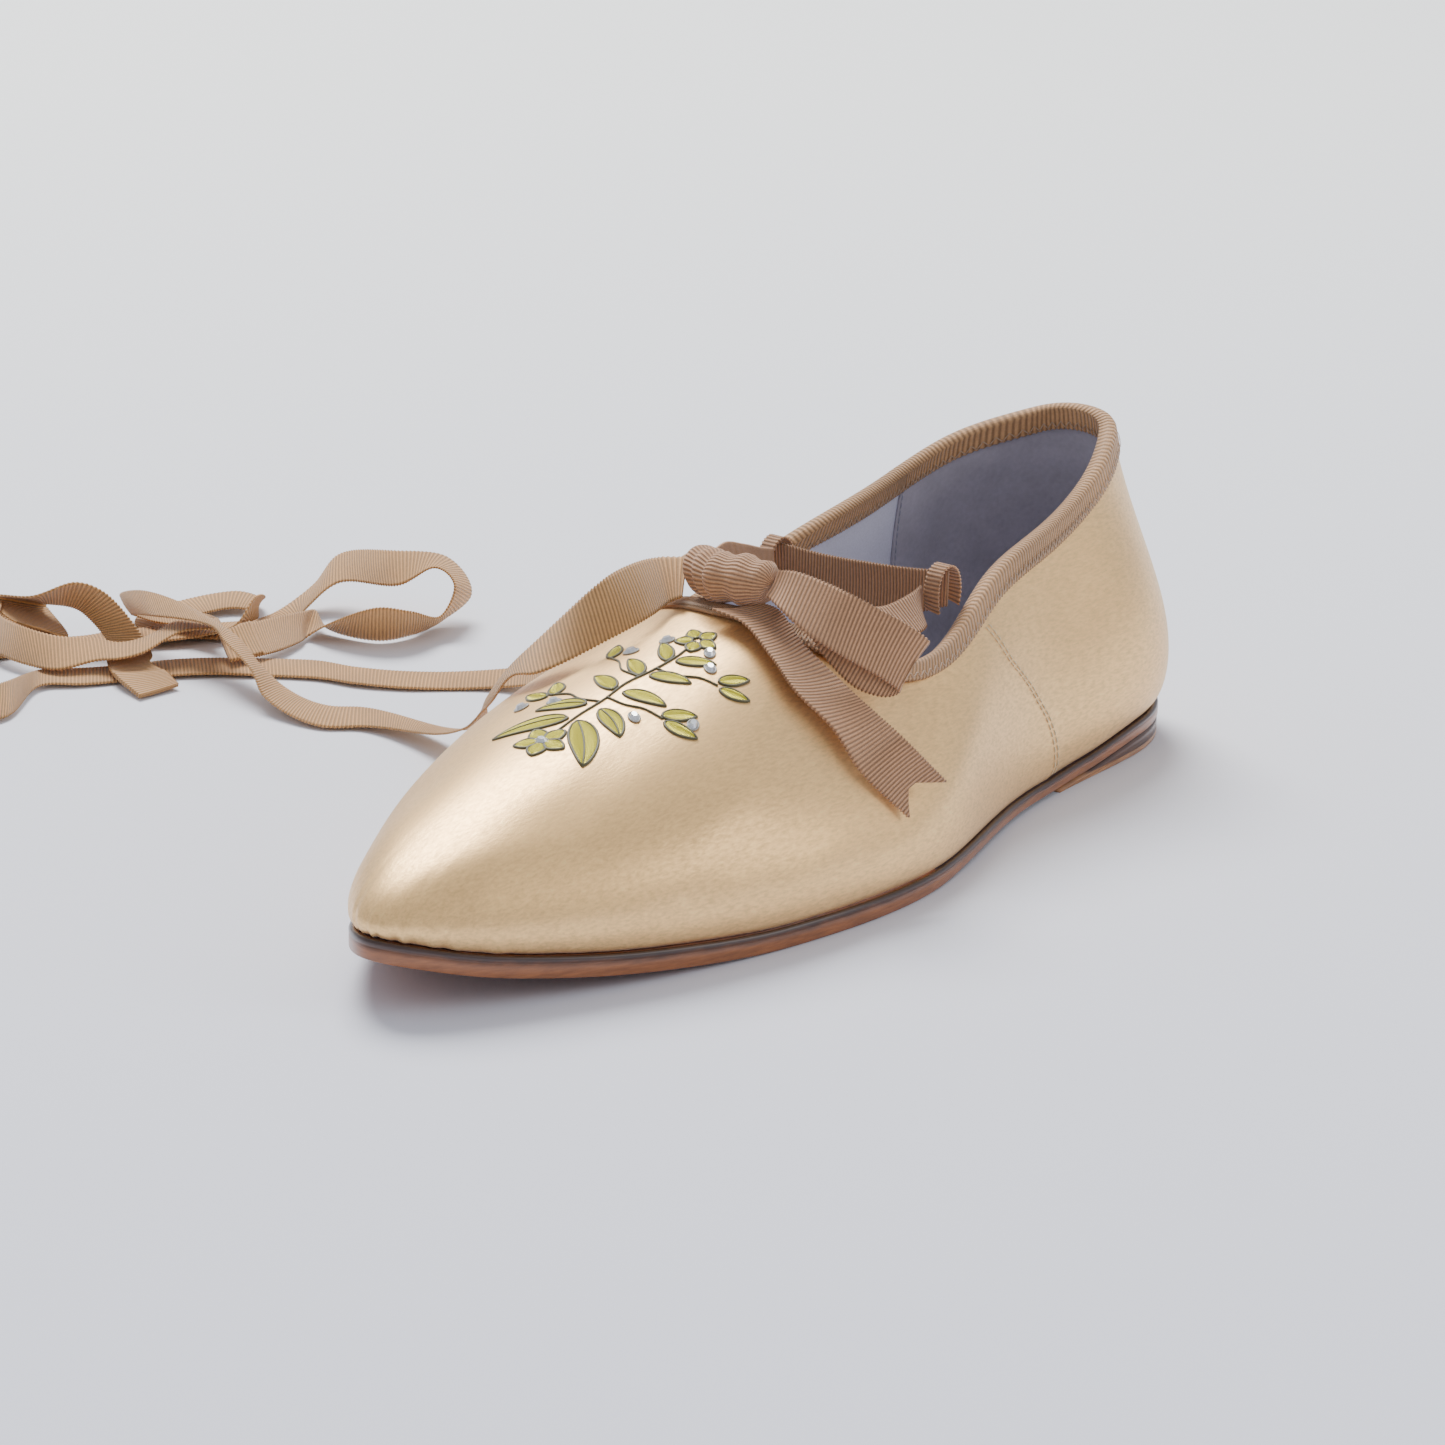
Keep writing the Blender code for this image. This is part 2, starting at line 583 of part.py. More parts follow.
# Middle lines of the edges of a ribbon, with extra stations between its folds
def strip_rails(table, steps):
    rows = np.array(table) * MM
    middle = (rows[:, RIGHT_EDGE] + rows[:, LEFT_EDGE]) / 2
    gap = np.sqrt(np.maximum(np.linalg.norm(np.diff(middle, axis=0), axis=1), MM))
    place = np.concatenate([[0], np.cumsum(gap)])
    slope = np.gradient(rows, place, axis=0)
    at = np.interp(np.arange((len(rows) - 1) * steps + 1) / steps, np.arange(len(rows)), place)
    i = np.clip(np.searchsorted(place, at, side="right") - 1, 0, len(rows) - 2)
    span = gap[i][:, None]
    u = (at - place[i])[:, None] / span
    start = rows[i] * (1 + 2 * u) * (1 - u) ** 2 + rows[i + 1] * (3 - 2 * u) * u ** 2
    return start + span * (slope[i] * u * (1 - u) ** 2 - slope[i + 1] * (1 - u) * u ** 2)


# Flat ribbon between its two edges, with its own thickness
def make_strip(name, table, steps, finish):
    rails = strip_rails(table, steps)
    count = len(rails)
    verts = np.concatenate([rails[:, RIGHT_EDGE], rails[:, LEFT_EDGE]])
    faces = [(i, i + 1, count + i + 1, count + i) for i in range(count - 1)]
    made = piece(name, verts, faces, finish)
    shell = made.modifiers.new("wall", "SOLIDIFY")
    shell.thickness = RIBBON_THICKNESS
    shell.offset = 0
    return made


# Knot over the throat: a short rounded roll of gathered ribbon
def make_knot():
    bpy.ops.mesh.primitive_uv_sphere_add(segments=12, ring_count=8, radius=0.5)
    made = bpy.context.object
    made.name = "bow_knot"
    made.scale = (KNOT_LENGTH, KNOT_DEPTH, KNOT_HEIGHT)
    made.location = KNOT_PLACE
    bpy.ops.object.transform_apply(location=True, scale=True)
    made.data.materials.append(grosgrain)
    for home in list(made.users_collection):
        home.objects.unlink(made)
    shoe.objects.link(made)


for old in list(bpy.data.objects):
    bpy.data.objects.remove(old, do_unlink=True)
shoe = bpy.data.collections.new("regency_slipper")
bpy.context.scene.collection.children.link(shoe)

satin = material("champagne satin", (0.62, 0.42, 0.22), 0.38)
grosgrain = material("tan grosgrain ribbon", (0.43, 0.27, 0.17), 0.75)
brown = material("brown sole leather", (0.14, 0.055, 0.03), 0.4)
lift_brown = material("heel lift leather", (0.20, 0.08, 0.035), 0.5)
lining = material("pale lining", (0.55, 0.53, 0.62), 0.8)

make_outsole()
make_heel_lift()
make_upper()
make_insole()
make_binding()
make_strip("tie_front", TIE_FRONT, 3, grosgrain)
make_strip("tie_back", TIE_BACK, 3, grosgrain)
make_strip("bow_tail", BOW_TAIL, 3, grosgrain)
make_strip("bow_loop", BOW_LOOP, 3, grosgrain)
make_strip("far_band", FAR_BAND, 3, grosgrain)
make_strip("throat_band", THROAT_BAND, 2, grosgrain)
make_strip("return_band", RETURN_BAND, 3, grosgrain)
make_strip("side_loop_inner", SIDE_LOOP_INNER, 3, grosgrain)
make_strip("side_loop_outer", SIDE_LOOP_OUTER, 3, grosgrain)
make_knot()
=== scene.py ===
import json
import math

import bpy
import numpy as np
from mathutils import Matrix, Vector
from mathutils.bvhtree import BVHTree

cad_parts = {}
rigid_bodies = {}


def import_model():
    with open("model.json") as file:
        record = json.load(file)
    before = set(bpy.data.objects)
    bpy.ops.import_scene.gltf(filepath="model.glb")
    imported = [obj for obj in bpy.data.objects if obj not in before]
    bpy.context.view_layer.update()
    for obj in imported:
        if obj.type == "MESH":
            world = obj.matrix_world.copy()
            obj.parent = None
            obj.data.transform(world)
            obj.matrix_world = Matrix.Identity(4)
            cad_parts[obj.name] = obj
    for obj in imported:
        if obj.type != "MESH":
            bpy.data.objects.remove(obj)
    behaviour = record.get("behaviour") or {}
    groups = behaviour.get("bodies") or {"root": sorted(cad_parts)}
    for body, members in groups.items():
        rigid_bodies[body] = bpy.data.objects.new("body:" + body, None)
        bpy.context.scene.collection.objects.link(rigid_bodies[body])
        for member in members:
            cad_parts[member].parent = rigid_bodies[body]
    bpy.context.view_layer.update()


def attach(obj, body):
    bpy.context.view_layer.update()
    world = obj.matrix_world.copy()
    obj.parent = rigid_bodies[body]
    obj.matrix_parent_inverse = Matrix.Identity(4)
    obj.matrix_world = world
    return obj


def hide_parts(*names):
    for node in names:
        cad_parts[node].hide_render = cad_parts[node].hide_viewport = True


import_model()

MM = 0.001
for part in bpy.context.scene.objects:
    part.select_set(False)
bpy.context.view_layer.objects.active = None


# ---------------------------------------------------------------- camera
# The slipper is seen from its toe and its inner side, a little from above, through a long lens.
# The camera leans by less than a degree.
VIEW_TURN = math.radians(39.61)
VIEW_RISE = math.radians(17.39)
VIEW_ROLL = math.radians(0.80)
VIEW_DISTANCE = 1052.3 * MM
VIEW_LENS = 126.12
AIM = Vector((-1.23, -14.98, 30.0)) * MM

sight = bpy.data.cameras.new("camera")
sight.lens = VIEW_LENS
sight.sensor_width = 36.0
camera = bpy.data.objects.new("camera", sight)
bpy.context.scene.collection.objects.link(camera)
level = math.cos(VIEW_RISE)
back = Vector((math.sin(VIEW_TURN) * level, -math.cos(VIEW_TURN) * level, math.sin(VIEW_RISE)))
right = Vector((math.cos(VIEW_TURN), math.sin(VIEW_TURN), 0.0))
top = back.cross(right)
lean_right = right * math.cos(VIEW_ROLL) + top * math.sin(VIEW_ROLL)
lean_top = top * math.cos(VIEW_ROLL) - right * math.sin(VIEW_ROLL)
for column_index, axis in enumerate((lean_right, lean_top, back)):
    for row_index in range(3):
        camera.matrix_world[row_index][column_index] = axis[row_index]
camera.matrix_world.translation = AIM + back * VIEW_DISTANCE
bpy.context.scene.camera = camera


# ---------------------------------------------------------------- bow
# Grosgrain ribbon, 12.5 mm wide, woven with a rib across at every 0.86 mm and a small loop of weft
# at each rib along both edges. One doubled loop and one V-cut end of it hang from the knot over
# the inner side of the vamp.
RIBBON_BODY = 0.45 * MM
RIB_PITCH = 0.86 * MM
RIB_STATIONS = 4
PICOT = 0.38 * MM
EDGE_RIPPLE = 0.18 * MM
RIPPLE_LENGTH = 6.1 * MM
ACROSS_SHARES = (0.0, 0.05, 0.22, 0.41, 0.59, 0.78, 0.95, 1.0)
FOLD_STEPS = 20
WARP_THREADS = 34
# Painted shade: the bow's ribbon is given a darker, pinker tan than the same ribbon in the ties, for the
# shade it lies in on top of the shoe.
SHADED_BOW_TAN = (0.62, 0.325, 0.165)

# Ribbons by fold, from their start, in millimetres: x, y and z of the right edge, then of the left
RIGHT_EDGE = slice(0, 3)
LEFT_EDGE = slice(3, 6)


# Smooth curve through rows of numbers, each at its place and a gap from the next
def curve_through(rows, place, gap, at):
    slope = np.gradient(rows, place, axis=0)
    i = np.clip(np.searchsorted(place, at, side="right") - 1, 0, len(rows) - 2)
    span = gap[i][:, None]
    u = (at - place[i])[:, None] / span
    start = rows[i] * (1 + 2 * u) * (1 - u) ** 2 + rows[i + 1] * (3 - 2 * u) * u ** 2
    return start + span * (slope[i] * u * (1 - u) ** 2 - slope[i + 1] * (1 - u) * u ** 2)


# Smooth curves through the folds of a ribbon's two edges
def ribbon_edges(table, steps):
    rows = np.array(table) * MM
    middle = (rows[:, RIGHT_EDGE] + rows[:, LEFT_EDGE]) / 2
    gap = np.sqrt(np.maximum(np.linalg.norm(np.diff(middle, axis=0), axis=1), MM))
    place = np.concatenate([[0], np.cumsum(gap)])
    at = np.interp(np.arange((len(rows) - 1) * steps + 1) / steps, np.arange(len(rows)), place)
    return curve_through(rows, place, gap, at)


# Length along a row of points, from 0 at the first
def length_along(points):
    steps = np.linalg.norm(np.diff(points, axis=0), axis=1)
    return np.concatenate([[0], np.cumsum(steps)])


# Surface through rows of points, with its threads' directions kept in a map named weave
def surface(name, points, warp=None, weft=None, closed=False, caps=False):
    rows, columns = points.shape[:2]
    last = columns if closed else columns - 1
    warp = np.broadcast_to(np.arange(last + 1) if warp is None else warp, (rows, last + 1))
    weft = np.broadcast_to(np.arange(rows)[:, None] if weft is None else weft, (rows, last + 1))
    r, c = np.meshgrid(np.arange(rows - 1), np.arange(last), indexing="ij")
    n = (c + 1) % columns
    corners = [r * columns + c, (r + 1) * columns + c, (r + 1) * columns + n, r * columns + n]
    faces = np.stack(corners, -1).reshape(-1, 4).tolist()
    maps = [(warp[a, b], weft[a, b]) for a, b in ((r, c), (r + 1, c), (r + 1, c + 1), (r, c + 1))]
    woven = np.array([np.stack(pair, -1) for pair in maps]).transpose(1, 2, 0, 3).reshape(-1, 2)
    if caps:
        extra = cap_faces(0, columns, False) + cap_faces((rows - 1) * columns, columns, True)
        flat = [points.reshape(-1, 3)[k, :2] for face in extra for k in face]
        woven = np.concatenate([woven, np.array(flat) / RIB_PITCH])
        faces += extra
    mesh = bpy.data.meshes.new(name)
    mesh.from_pydata(points.reshape(-1, 3).tolist(), [], faces)
    mesh.uv_layers.new(name="weave").data.foreach_set("uv", woven.ravel())
    mesh.shade_smooth()
    made = bpy.data.objects.new(name, mesh)
    bpy.context.scene.collection.objects.link(made)
    return made


def pick(made):
    for other in bpy.context.selected_objects:
        other.select_set(False)
    made.select_set(True)
    bpy.context.view_layer.objects.active = made


# Wall of a surface, built to one side of it (-1) or to both (0)
def thicken(made, thickness, side):
    pick(made)
    wall = made.modifiers.new("wall", "SOLIDIFY")
    wall.thickness = thickness
    wall.offset = side
    bpy.ops.object.modifier_apply(modifier=wall.name)


# Ribbon between two edges: ribs at an even pitch, an edge loop at each, and a slightly crowned face
def ribbon(name, table, crown=0.3 * MM, notch=0.0):
    edges = ribbon_edges(table, FOLD_STEPS)
    place = length_along((edges[:, RIGHT_EDGE] + edges[:, LEFT_EDGE]) / 2)
    length = place[-1]
    at = np.linspace(0, length, int(length / RIB_PITCH) * RIB_STATIONS + 1)
    start = length - 2 * notch
    shares = np.array(ACROSS_SHARES)
    points = np.zeros((len(shares), len(at), 3))
    warp = np.zeros(points.shape[:2])
    for k, share in enumerate(shares):
        cut = length - notch * (1 - abs(2 * share - 1))
        here = np.where(at > start, start + (at - start) * (cut - start) / max(length - start, MM), at)
        rail = np.stack([np.interp(here, place, edges[:, j]) for j in range(6)], -1)
        across = rail[:, LEFT_EDGE] - rail[:, RIGHT_EDGE]
        width = np.linalg.norm(across, axis=1, keepdims=True)
        across /= width
        along = np.gradient((rail[:, RIGHT_EDGE] + rail[:, LEFT_EDGE]) / 2, axis=0)
        normal = np.cross(along, across)
        normal /= np.maximum(np.linalg.norm(normal, axis=1, keepdims=True), 1e-9)
        swell = (0.5 - 0.5 * np.cos(here / RIB_PITCH * 2 * math.pi))[:, None]
        edge = {0.0: -1.0, 1.0: 1.0}.get(float(share), 0.0)
        rise = crown * 4 * share * (1 - share)
        rise = rise + EDGE_RIPPLE * (2 * share - 1) ** 2 * np.sin(here / RIPPLE_LENGTH)
        points[k] = rail[:, RIGHT_EDGE] + across * (width * share + edge * PICOT * swell)
        points[k] += normal * rise[:, None]
        warp[k] = here / RIB_PITCH
    made = surface(name, points, warp, shares[:, None])
    thicken(made, RIBBON_BODY, 0)
    return made


def add_node(made, kind, sockets=(), **settings):
    node = made.node_tree.nodes.new(kind)
    for key, value in settings.items():
        setattr(node, key, value)
    for key, value in dict(sockets).items():
        if isinstance(value, bpy.types.NodeSocket):
            made.node_tree.links.new(value, node.inputs[key])
        else:
            node.inputs[key].default_value = value
    return node


def blank_finish(name, roughness):
    made = bpy.data.materials.new(name)
    made.use_nodes = True
    shader = made.node_tree.nodes["Principled BSDF"]
    shader.inputs["Roughness"].default_value = roughness
    return made, shader


def give(made, finish):
    made.data.materials.clear()
    made.data.materials.append(finish)


def noise(made, place, scale, detail=2.0, roughness=0.5):
    sockets = {"Vector": place, "Scale": scale, "Detail": detail, "Roughness": roughness}
    return add_node(made, "ShaderNodeTexNoise", sockets).outputs[0]


# Tones from low to high, over the usual range of a noise or over the one given
def tones(made, value, low, high, start=0.3, end=0.7):
    return add_node(made, "ShaderNodeMapRange", {0: value, 1: start, 2: end, 3: low, 4: high}).outputs[0]


def maths(made, operation, *values):
    return add_node(made, "ShaderNodeMath", dict(enumerate(values)), operation=operation).outputs[0]


def place_on(made):
    return add_node(made, "ShaderNodeTexCoord").outputs["Object"]


# Place along and across the threads, from the piece's map
def weave_of(made):
    place = add_node(made, "ShaderNodeUVMap", uv_map="weave")
    return add_node(made, "ShaderNodeSeparateXYZ", {0: place.outputs[0]}).outputs


def wave_of(made, value, count=1):
    return maths(made, "SINE", maths(made, "MULTIPLY", value, 2 * math.pi * count))


def connect(made, socket, name):
    made.node_tree.links.new(socket, made.node_tree.nodes["Principled BSDF"].inputs[name])


# Colour made lighter and darker by the tones given
def dye(made, colour, *values):
    value = values[0]
    for other in values[1:]:
        value = maths(made, "MULTIPLY", value, other)
    dyed = add_node(made, "ShaderNodeVectorMath", {0: colour, "Scale": value}, operation="SCALE")
    connect(made, dyed.outputs[0], "Base Color")


def relief(made, height, strength, depth):
    bump = add_node(made, "ShaderNodeBump", {"Height": height, "Strength": strength, "Distance": depth})
    connect(made, bump.outputs[0], "Normal")


# Grosgrain: ribs across, finer warp threads along, and a slight unevenness of the dye. The valleys between
# the ribs are painted darker, as painted shade.
def grosgrain_finish(name, colour, valley_shade):
    made, shader = blank_finish(name, 0.62)
    shader.inputs["Sheen Weight"].default_value = 0.25
    shader.inputs["Sheen Roughness"].default_value = 0.4
    shader.inputs["Specular IOR Level"].default_value = 0.35
    weave = weave_of(made)
    rib = wave_of(made, weave[0])
    thread = wave_of(made, weave[1], WARP_THREADS)
    place = place_on(made)
    # Painted shade: the colour falls to the valley shade in the hollows between the ribs.
    shade = tones(made, rib, valley_shade, 1.0, -1.0, 0.6)
    cloud = tones(made, noise(made, place, 55.0), 0.90, 1.08)
    speck = tones(made, noise(made, place, 1900.0), 0.90, 1.08)
    dye(made, colour, shade, cloud, speck)
    relief(made, maths(made, "MULTIPLY_ADD", thread, 0.14, rib), 0.85, 0.16 * MM)
    return made


shaded_bow_finish = grosgrain_finish("grosgrain_bow_shaded", SHADED_BOW_TAN, 0.42)
BOW_TAIL = (
    (7.0, -13.5, 57.3, 1.5, -22.0, 56.6),
    (10.5, -11.5, 55.8, 9.5, -22.0, 55.6),
    (19.0, -13.8, 50.6, 20.0, -25.0, 50.6),
    (29.5, -13.5, 44.0, 27.0, -26.0, 45.0),
    (35.0, -10.5, 38.8, 34.0, -22.0, 37.5),
    (42.5, -10.5, 35.0, 40.0, -20.8, 30.0),
    (47.5, -2.0, 24.5, 46.2, -12.4, 19.2),
)
BOW_LOOP = (
    (9.9, -11.2, 64.0, 10.0, -15.0, 59.8),
    (13.5, -9.5, 64.0, 16.0, -17.5, 58.5),
    (19.5, -6.5, 62.0, 21.5, -15.8, 54.2),
    (24.5, -5.0, 60.2, 25.5, -12.6, 50.8),
    (29.0, -1.5, 57.2, 29.0, -8.8, 47.6),
    (33.5, 2.5, 53.8, 32.5, -4.5, 44.2),
    (36.0, 6.0, 50.0, 34.5, -1.5, 41.0),
    (33.5, 4.5, 48.8, 33.0, -3.5, 40.2),
    (29.0, 0.5, 50.0, 29.0, -8.0, 42.0),
    (24.0, -3.5, 53.2, 24.5, -10.8, 46.4),
    (19.5, -6.0, 56.4, 19.5, -11.8, 52.0),
    (14.0, -8.5, 59.0, 14.5, -11.5, 56.0),
)

tail = ribbon("bow_end", BOW_TAIL, 0.8 * MM, 5.5 * MM)
give(tail, shaded_bow_finish)
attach(tail, "root")
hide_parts("bow_tail")

loop = ribbon("bow_double", BOW_LOOP, 0.5 * MM)
give(loop, shaded_bow_finish)
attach(loop, "root")
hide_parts("bow_loop")


# ---------------------------------------------------------------- knot
# The ribbon is drawn into a flat knot over the throat: one gathered turn round the bow, and a
# second, slanting turn on the outer side where the long tie comes out.
# By turn, in millimetres: x, y and z of the middle, slant in degrees, half width, depth and height
KNOT_TURNS = (
    (1.2, -12.8, 60.9, 12.0, 8.4, 5.2, 5.0),
    (-6.6, -12.0, 60.4, -46.0, 6.6, 4.9, 4.7),
)
KNOT_ROWS = 15
PLEAT_DEPTH = 0.09
wraps = []
for x, y, z, slant, half_width, depth, height in KNOT_TURNS:
    girth = math.pi * (depth + height) * MM
    ribs = round(girth / RIB_PITCH)
    count = ribs * RIB_STATIONS
    round_it = np.linspace(0, 2 * math.pi, count + 1)[:-1]
    shares = np.linspace(-1, 1, KNOT_ROWS)
    s, a = np.meshgrid(shares, round_it, indexing="ij")
    pleat = PLEAT_DEPTH * np.sin(s * 8.5 + 1.1 * np.sin(a + 0.4))
    swell = 1 - 0.14 * s ** 2 - 0.84 * np.abs(s) ** 9 + pleat * (1 - s ** 4)
    away = s * half_width + math.tan(math.radians(slant)) * height * np.sin(a) * 0.35
    turned = math.radians(slant) * 0.5
    ahead = depth * swell * np.cos(a)
    points = np.stack([
        x + away * math.cos(turned) - ahead * math.sin(turned),
        y + away * math.sin(turned) + ahead * math.cos(turned),
        z + height * swell * np.sin(a)], -1) * MM
    warp = np.linspace(0, ribs, count + 1)
    wrap = surface("knot_turn", points, warp, (shares[:, None] + 1) / 2, closed=True)
    thicken(wrap, RIBBON_BODY, 0)
    wraps.append(wrap)


def join_all(pieces, name):
    pick(pieces[0])
    for other in pieces[1:]:
        other.select_set(True)
    bpy.ops.object.join()
    joined = bpy.context.object
    joined.name = name
    return joined


knot = join_all(wraps, "knot_wraps")
give(knot, shaded_bow_finish)
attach(knot, "root")
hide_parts("bow_knot")


# ---------------------------------------------------------------- ties
# Two long ties of the same ribbon leave the knot, fall over the outer side of the vamp and lie in
# curls on the floor, each with a hemmed square end.
# Painted light: the ties are given a lighter, more orange tan than the same ribbon in the bow, for the
# light they catch on the floor.
LIT_TIE_TAN = (0.72, 0.39, 0.155)
TIE_FRONT = (
    (-17.0, -8.0, 61.0, -10.0, -18.0, 56.2),
    (-21.0, -12.0, 61.0, -12.0, -19.5, 55.0),
    (-19.5, -24.5, 62.0, -11.0, -28.0, 53.6),
    (-18.5, -35.0, 60.5, -13.0, -36.5, 51.0),
    (-28.5, -43.5, 47.5, -20.0, -51.5, 45.2),
    (-34.0, -44.0, 42.0, -27.0, -51.0, 43.0),
    (-46.0, -38.0, 32.0, -40.0, -44.0, 33.0),
    (-66.0, -17.0, 18.5, -62.0, -25.0, 20.0),
    (-92.0, 3.0, 5.0, -87.0, -7.0, 7.5),
    (-126.0, 8.0, 1.6, -117.5, -1.0, 1.2),
    (-133.0, 3.0, 2.0, -126.0, -7.0, 1.2),
    (-148.5, 5.0, 2.5, -143.5, -6.5, 4.0),
    (-158.0, 7.0, 5.0, -151.5, -3.0, 8.0),
    (-171.0, 12.0, 9.0, -165.0, 2.0, 11.5),
    (-182.0, 13.0, 11.5, -172.0, 5.0, 12.8),
    (-203.5, 14.5, 13.0, -193.5, 7.5, 10.5),
    (-219.5, 21.0, 8.0, -209.0, 14.5, 6.5),
    (-223.0, 26.0, 4.8, -212.5, 19.5, 4.4),
    (-216.0, 27.0, 4.6, -206.0, 18.5, 4.6),
    (-194.5, 27.0, 6.0, -184.5, 19.5, 6.0),
    (-187.0, 20.0, 8.2, -178.5, 12.0, 9.2),
    (-191.5, 14.5, 8.5, -183.0, 6.0, 9.0),
    (-192.5, 2.0, 6.5, -184.0, -6.5, 6.5),
    (-195.0, -3.0, 6.0, -187.0, -10.5, 5.5),
    (-200.5, -6.0, 6.5, -192.0, -13.0, 4.5),
    (-205.0, -13.5, 7.5, -197.0, -20.5, 2.8),
    (-213.5, -16.5, 9.0, -205.0, -22.0, 2.6),
    (-224.5, -13.5, 9.0, -216.0, -21.5, 3.2),
    (-232.0, -6.0, 9.0, -227.0, -17.0, 4.5),
    (-239.0, 1.0, 7.0, -236.5, -10.5, 3.6),
    (-231.0, 7.0, 4.6, -227.0, -4.0, 2.8),
    (-222.5, -9.0, 6.5, -214.0, -2.0, 3.2),
    (-235.0, -6.0, 10.0, -227.5, 4.0, 7.0),
    (-219.5, -7.5, 13.5, -226.0, 2.0, 8.5),
    (-211.5, -1.0, 17.0, -219.0, 3.5, 9.0),
    (-206.0, 2.5, 15.0, -215.5, 4.5, 8.0),
    (-190.0, 2.0, 4.0, -201.0, 0.0, 3.0),
    (-184.0, -4.0, 3.5, -193.5, -8.0, 2.8),
    (-178.0, -5.0, 2.6, -185.0, -14.0, 2.4),
    (-171.5, -7.0, 1.2, -172.0, -18.5, 1.0),
)
TIE_BACK = (
    (-19.0, 2.0, 61.0, -18.5, -5.0, 57.5),
    (-28.0, 5.0, 57.0, -26.0, -5.0, 53.0),
    (-62.0, 21.0, 34.0, -58.0, 10.0, 31.0),
    (-85.0, 38.0, 18.0, -79.0, 28.0, 17.0),
    (-119.0, 53.0, 2.5, -111.0, 43.5, 2.0),
    (-141.0, 36.5, 1.0, -133.0, 27.0, 1.0),
    (-151.0, 31.0, 1.0, -142.5, 22.0, 1.0),
    (-163.0, 28.0, 1.2, -154.0, 19.0, 1.0),
    (-186.0, 8.0, 1.0, -177.0, 0.0, 1.0),
    (-198.0, -12.0, 1.0, -189.0, -20.5, 1.0),
    (-203.0, -20.0, 1.2, -194.5, -28.0, 1.2),
    (-191.0, -42.0, 6.0, -183.0, -50.0, 1.2),
    (-192.5, -50.0, 5.0, -186.0, -59.0, 1.5),
    (-202.0, -51.0, 2.5, -201.0, -62.0, 1.2),
    (-213.0, -43.0, 1.2, -221.0, -52.0, 1.0),
    (-219.0, -18.0, 1.0, -231.0, -17.0, 1.0),
    (-207.0, -1.0, 1.0, -217.0, 6.0, 1.0),
    (-203.0, 7.0, 1.8, -212.5, 15.0, 1.8),
    (-189.0, 29.0, 4.2, -194.5, 37.0, 2.4),
    (-190.5, 37.0, 9.0, -195.0, 42.0, 2.2),
    (-206.0, 55.0, 2.5, -202.0, 47.5, 1.8),
    (-214.0, 54.0, 2.5, -206.5, 45.0, 1.8),
    (-220.5, 28.0, 1.0, -210.0, 30.0, 1.0),
    (-210.0, 19.5, 1.0, -206.5, 30.5, 1.0),
    (-195.0, 24.0, 1.0, -200.0, 34.5, 1.0),
    (-187.0, 34.0, 1.0, -197.5, 40.5, 1.0),
    (-188.5, 49.0, 1.4, -199.0, 55.0, 1.0),
    (-189.5, 54.5, 3.5, -197.0, 64.5, 5.5),
    (-188.0, 63.5, 8.0, -196.0, 72.0, 11.5),
    (-169.0, 65.0, 11.0, -177.0, 73.0, 16.0),
    (-164.0, 72.0, 14.5, -170.0, 83.0, 13.5),
    (-155.5, 70.0, 12.0, -160.0, 80.5, 7.0),
    (-154.0, 63.5, 6.0, -162.5, 71.5, 1.0),
    (-154.0, 53.0, 9.5, -161.0, 59.5, 1.0),
    (-158.5, 46.5, 11.0, -164.0, 52.0, 1.0),
    (-169.5, 42.0, 6.0, -178.5, 49.5, 1.5),
    (-177.0, 41.7, 1.4, -184.3, 51.6, 4.0),
    (-174.5, 36.0, 1.6, -182.5, 45.0, 5.5),
    (-170.5, 19.5, 3.0, -180.0, 24.5, 7.4),
    (-172.0, 10.5, 3.0, -181.5, 16.5, 6.2),
)

lit_tie_finish = grosgrain_finish("grosgrain_ties_lit", LIT_TIE_TAN, 0.52)
for name, table, node, bow in (
    ("tie_over", TIE_FRONT, "tie_front", (tail, loop, knot)),
    ("tie_under", TIE_BACK, "tie_back", ()),
):
    tie = ribbon(name, table)
    give(tie, lit_tie_finish)
    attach(tie, "root")
    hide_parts(node)


# Turned-up hem at the end of each tie: a second layer over the last fold
HEM_STATIONS = 22
HEM_STEP = 7
HEM_LIFT = RIBBON_BODY * 1.15
for name, table in (("hem_over", TIE_FRONT), ("hem_under", TIE_BACK)):
    edges = ribbon_edges(table, FOLD_STEPS)[-HEM_STATIONS:]
    lift = np.array([0, 0, HEM_LIFT] * 2)
    raised = [tuple(row) for row in (edges[::HEM_STEP] + lift) / MM]
    hem = ribbon(name, raised)
    give(hem, lit_tie_finish)
    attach(hem, "root")


# ---------------------------------------------------------------- side loops and bands
# A small ribbon loop is sewn inside each side of the topline. The tie runs from the knot to the
# outer loop, across the throat to the inner one and back to the knot.
FAR_BAND = (
    (-10.5, -8.2, 63.3, -9.0, -8.2, 58.8),
    (-13.5, 0.0, 63.2, -12.5, -1.5, 54.5),
    (-18.5, 12.0, 59.5, -17.0, 10.0, 50.5),
    (-23.5, 23.5, 55.5, -22.0, 22.0, 47.5),
    (-26.5, 32.0, 53.0, -25.5, 31.5, 45.5),
)
THROAT_BAND = (
    (-31.5, 38.0, 52.6, -31.0, 38.0, 45.5),
    (-18.0, 38.0, 52.2, -17.5, 37.0, 43.4),
    (-4.0, 37.5, 53.0, -3.0, 36.5, 43.8),
    (8.0, 37.2, 54.0, 8.5, 36.5, 45.0),
    (17.2, 37.0, 55.2, 17.2, 36.8, 48.0),
)
RETURN_BAND = (
    (13.0, 33.2, 52.0, 14.0, 31.6, 46.2),
    (14.5, 27.0, 51.5, 19.0, 27.0, 45.8),
    (14.4, 18.0, 50.8, 20.5, 18.5, 45.6),
    (12.5, 8.0, 53.5, 17.0, 7.0, 48.0),
    (9.5, -1.0, 58.5, 12.0, -3.0, 53.5),
    (7.5, -7.0, 62.5, 8.5, -7.5, 58.5),
)
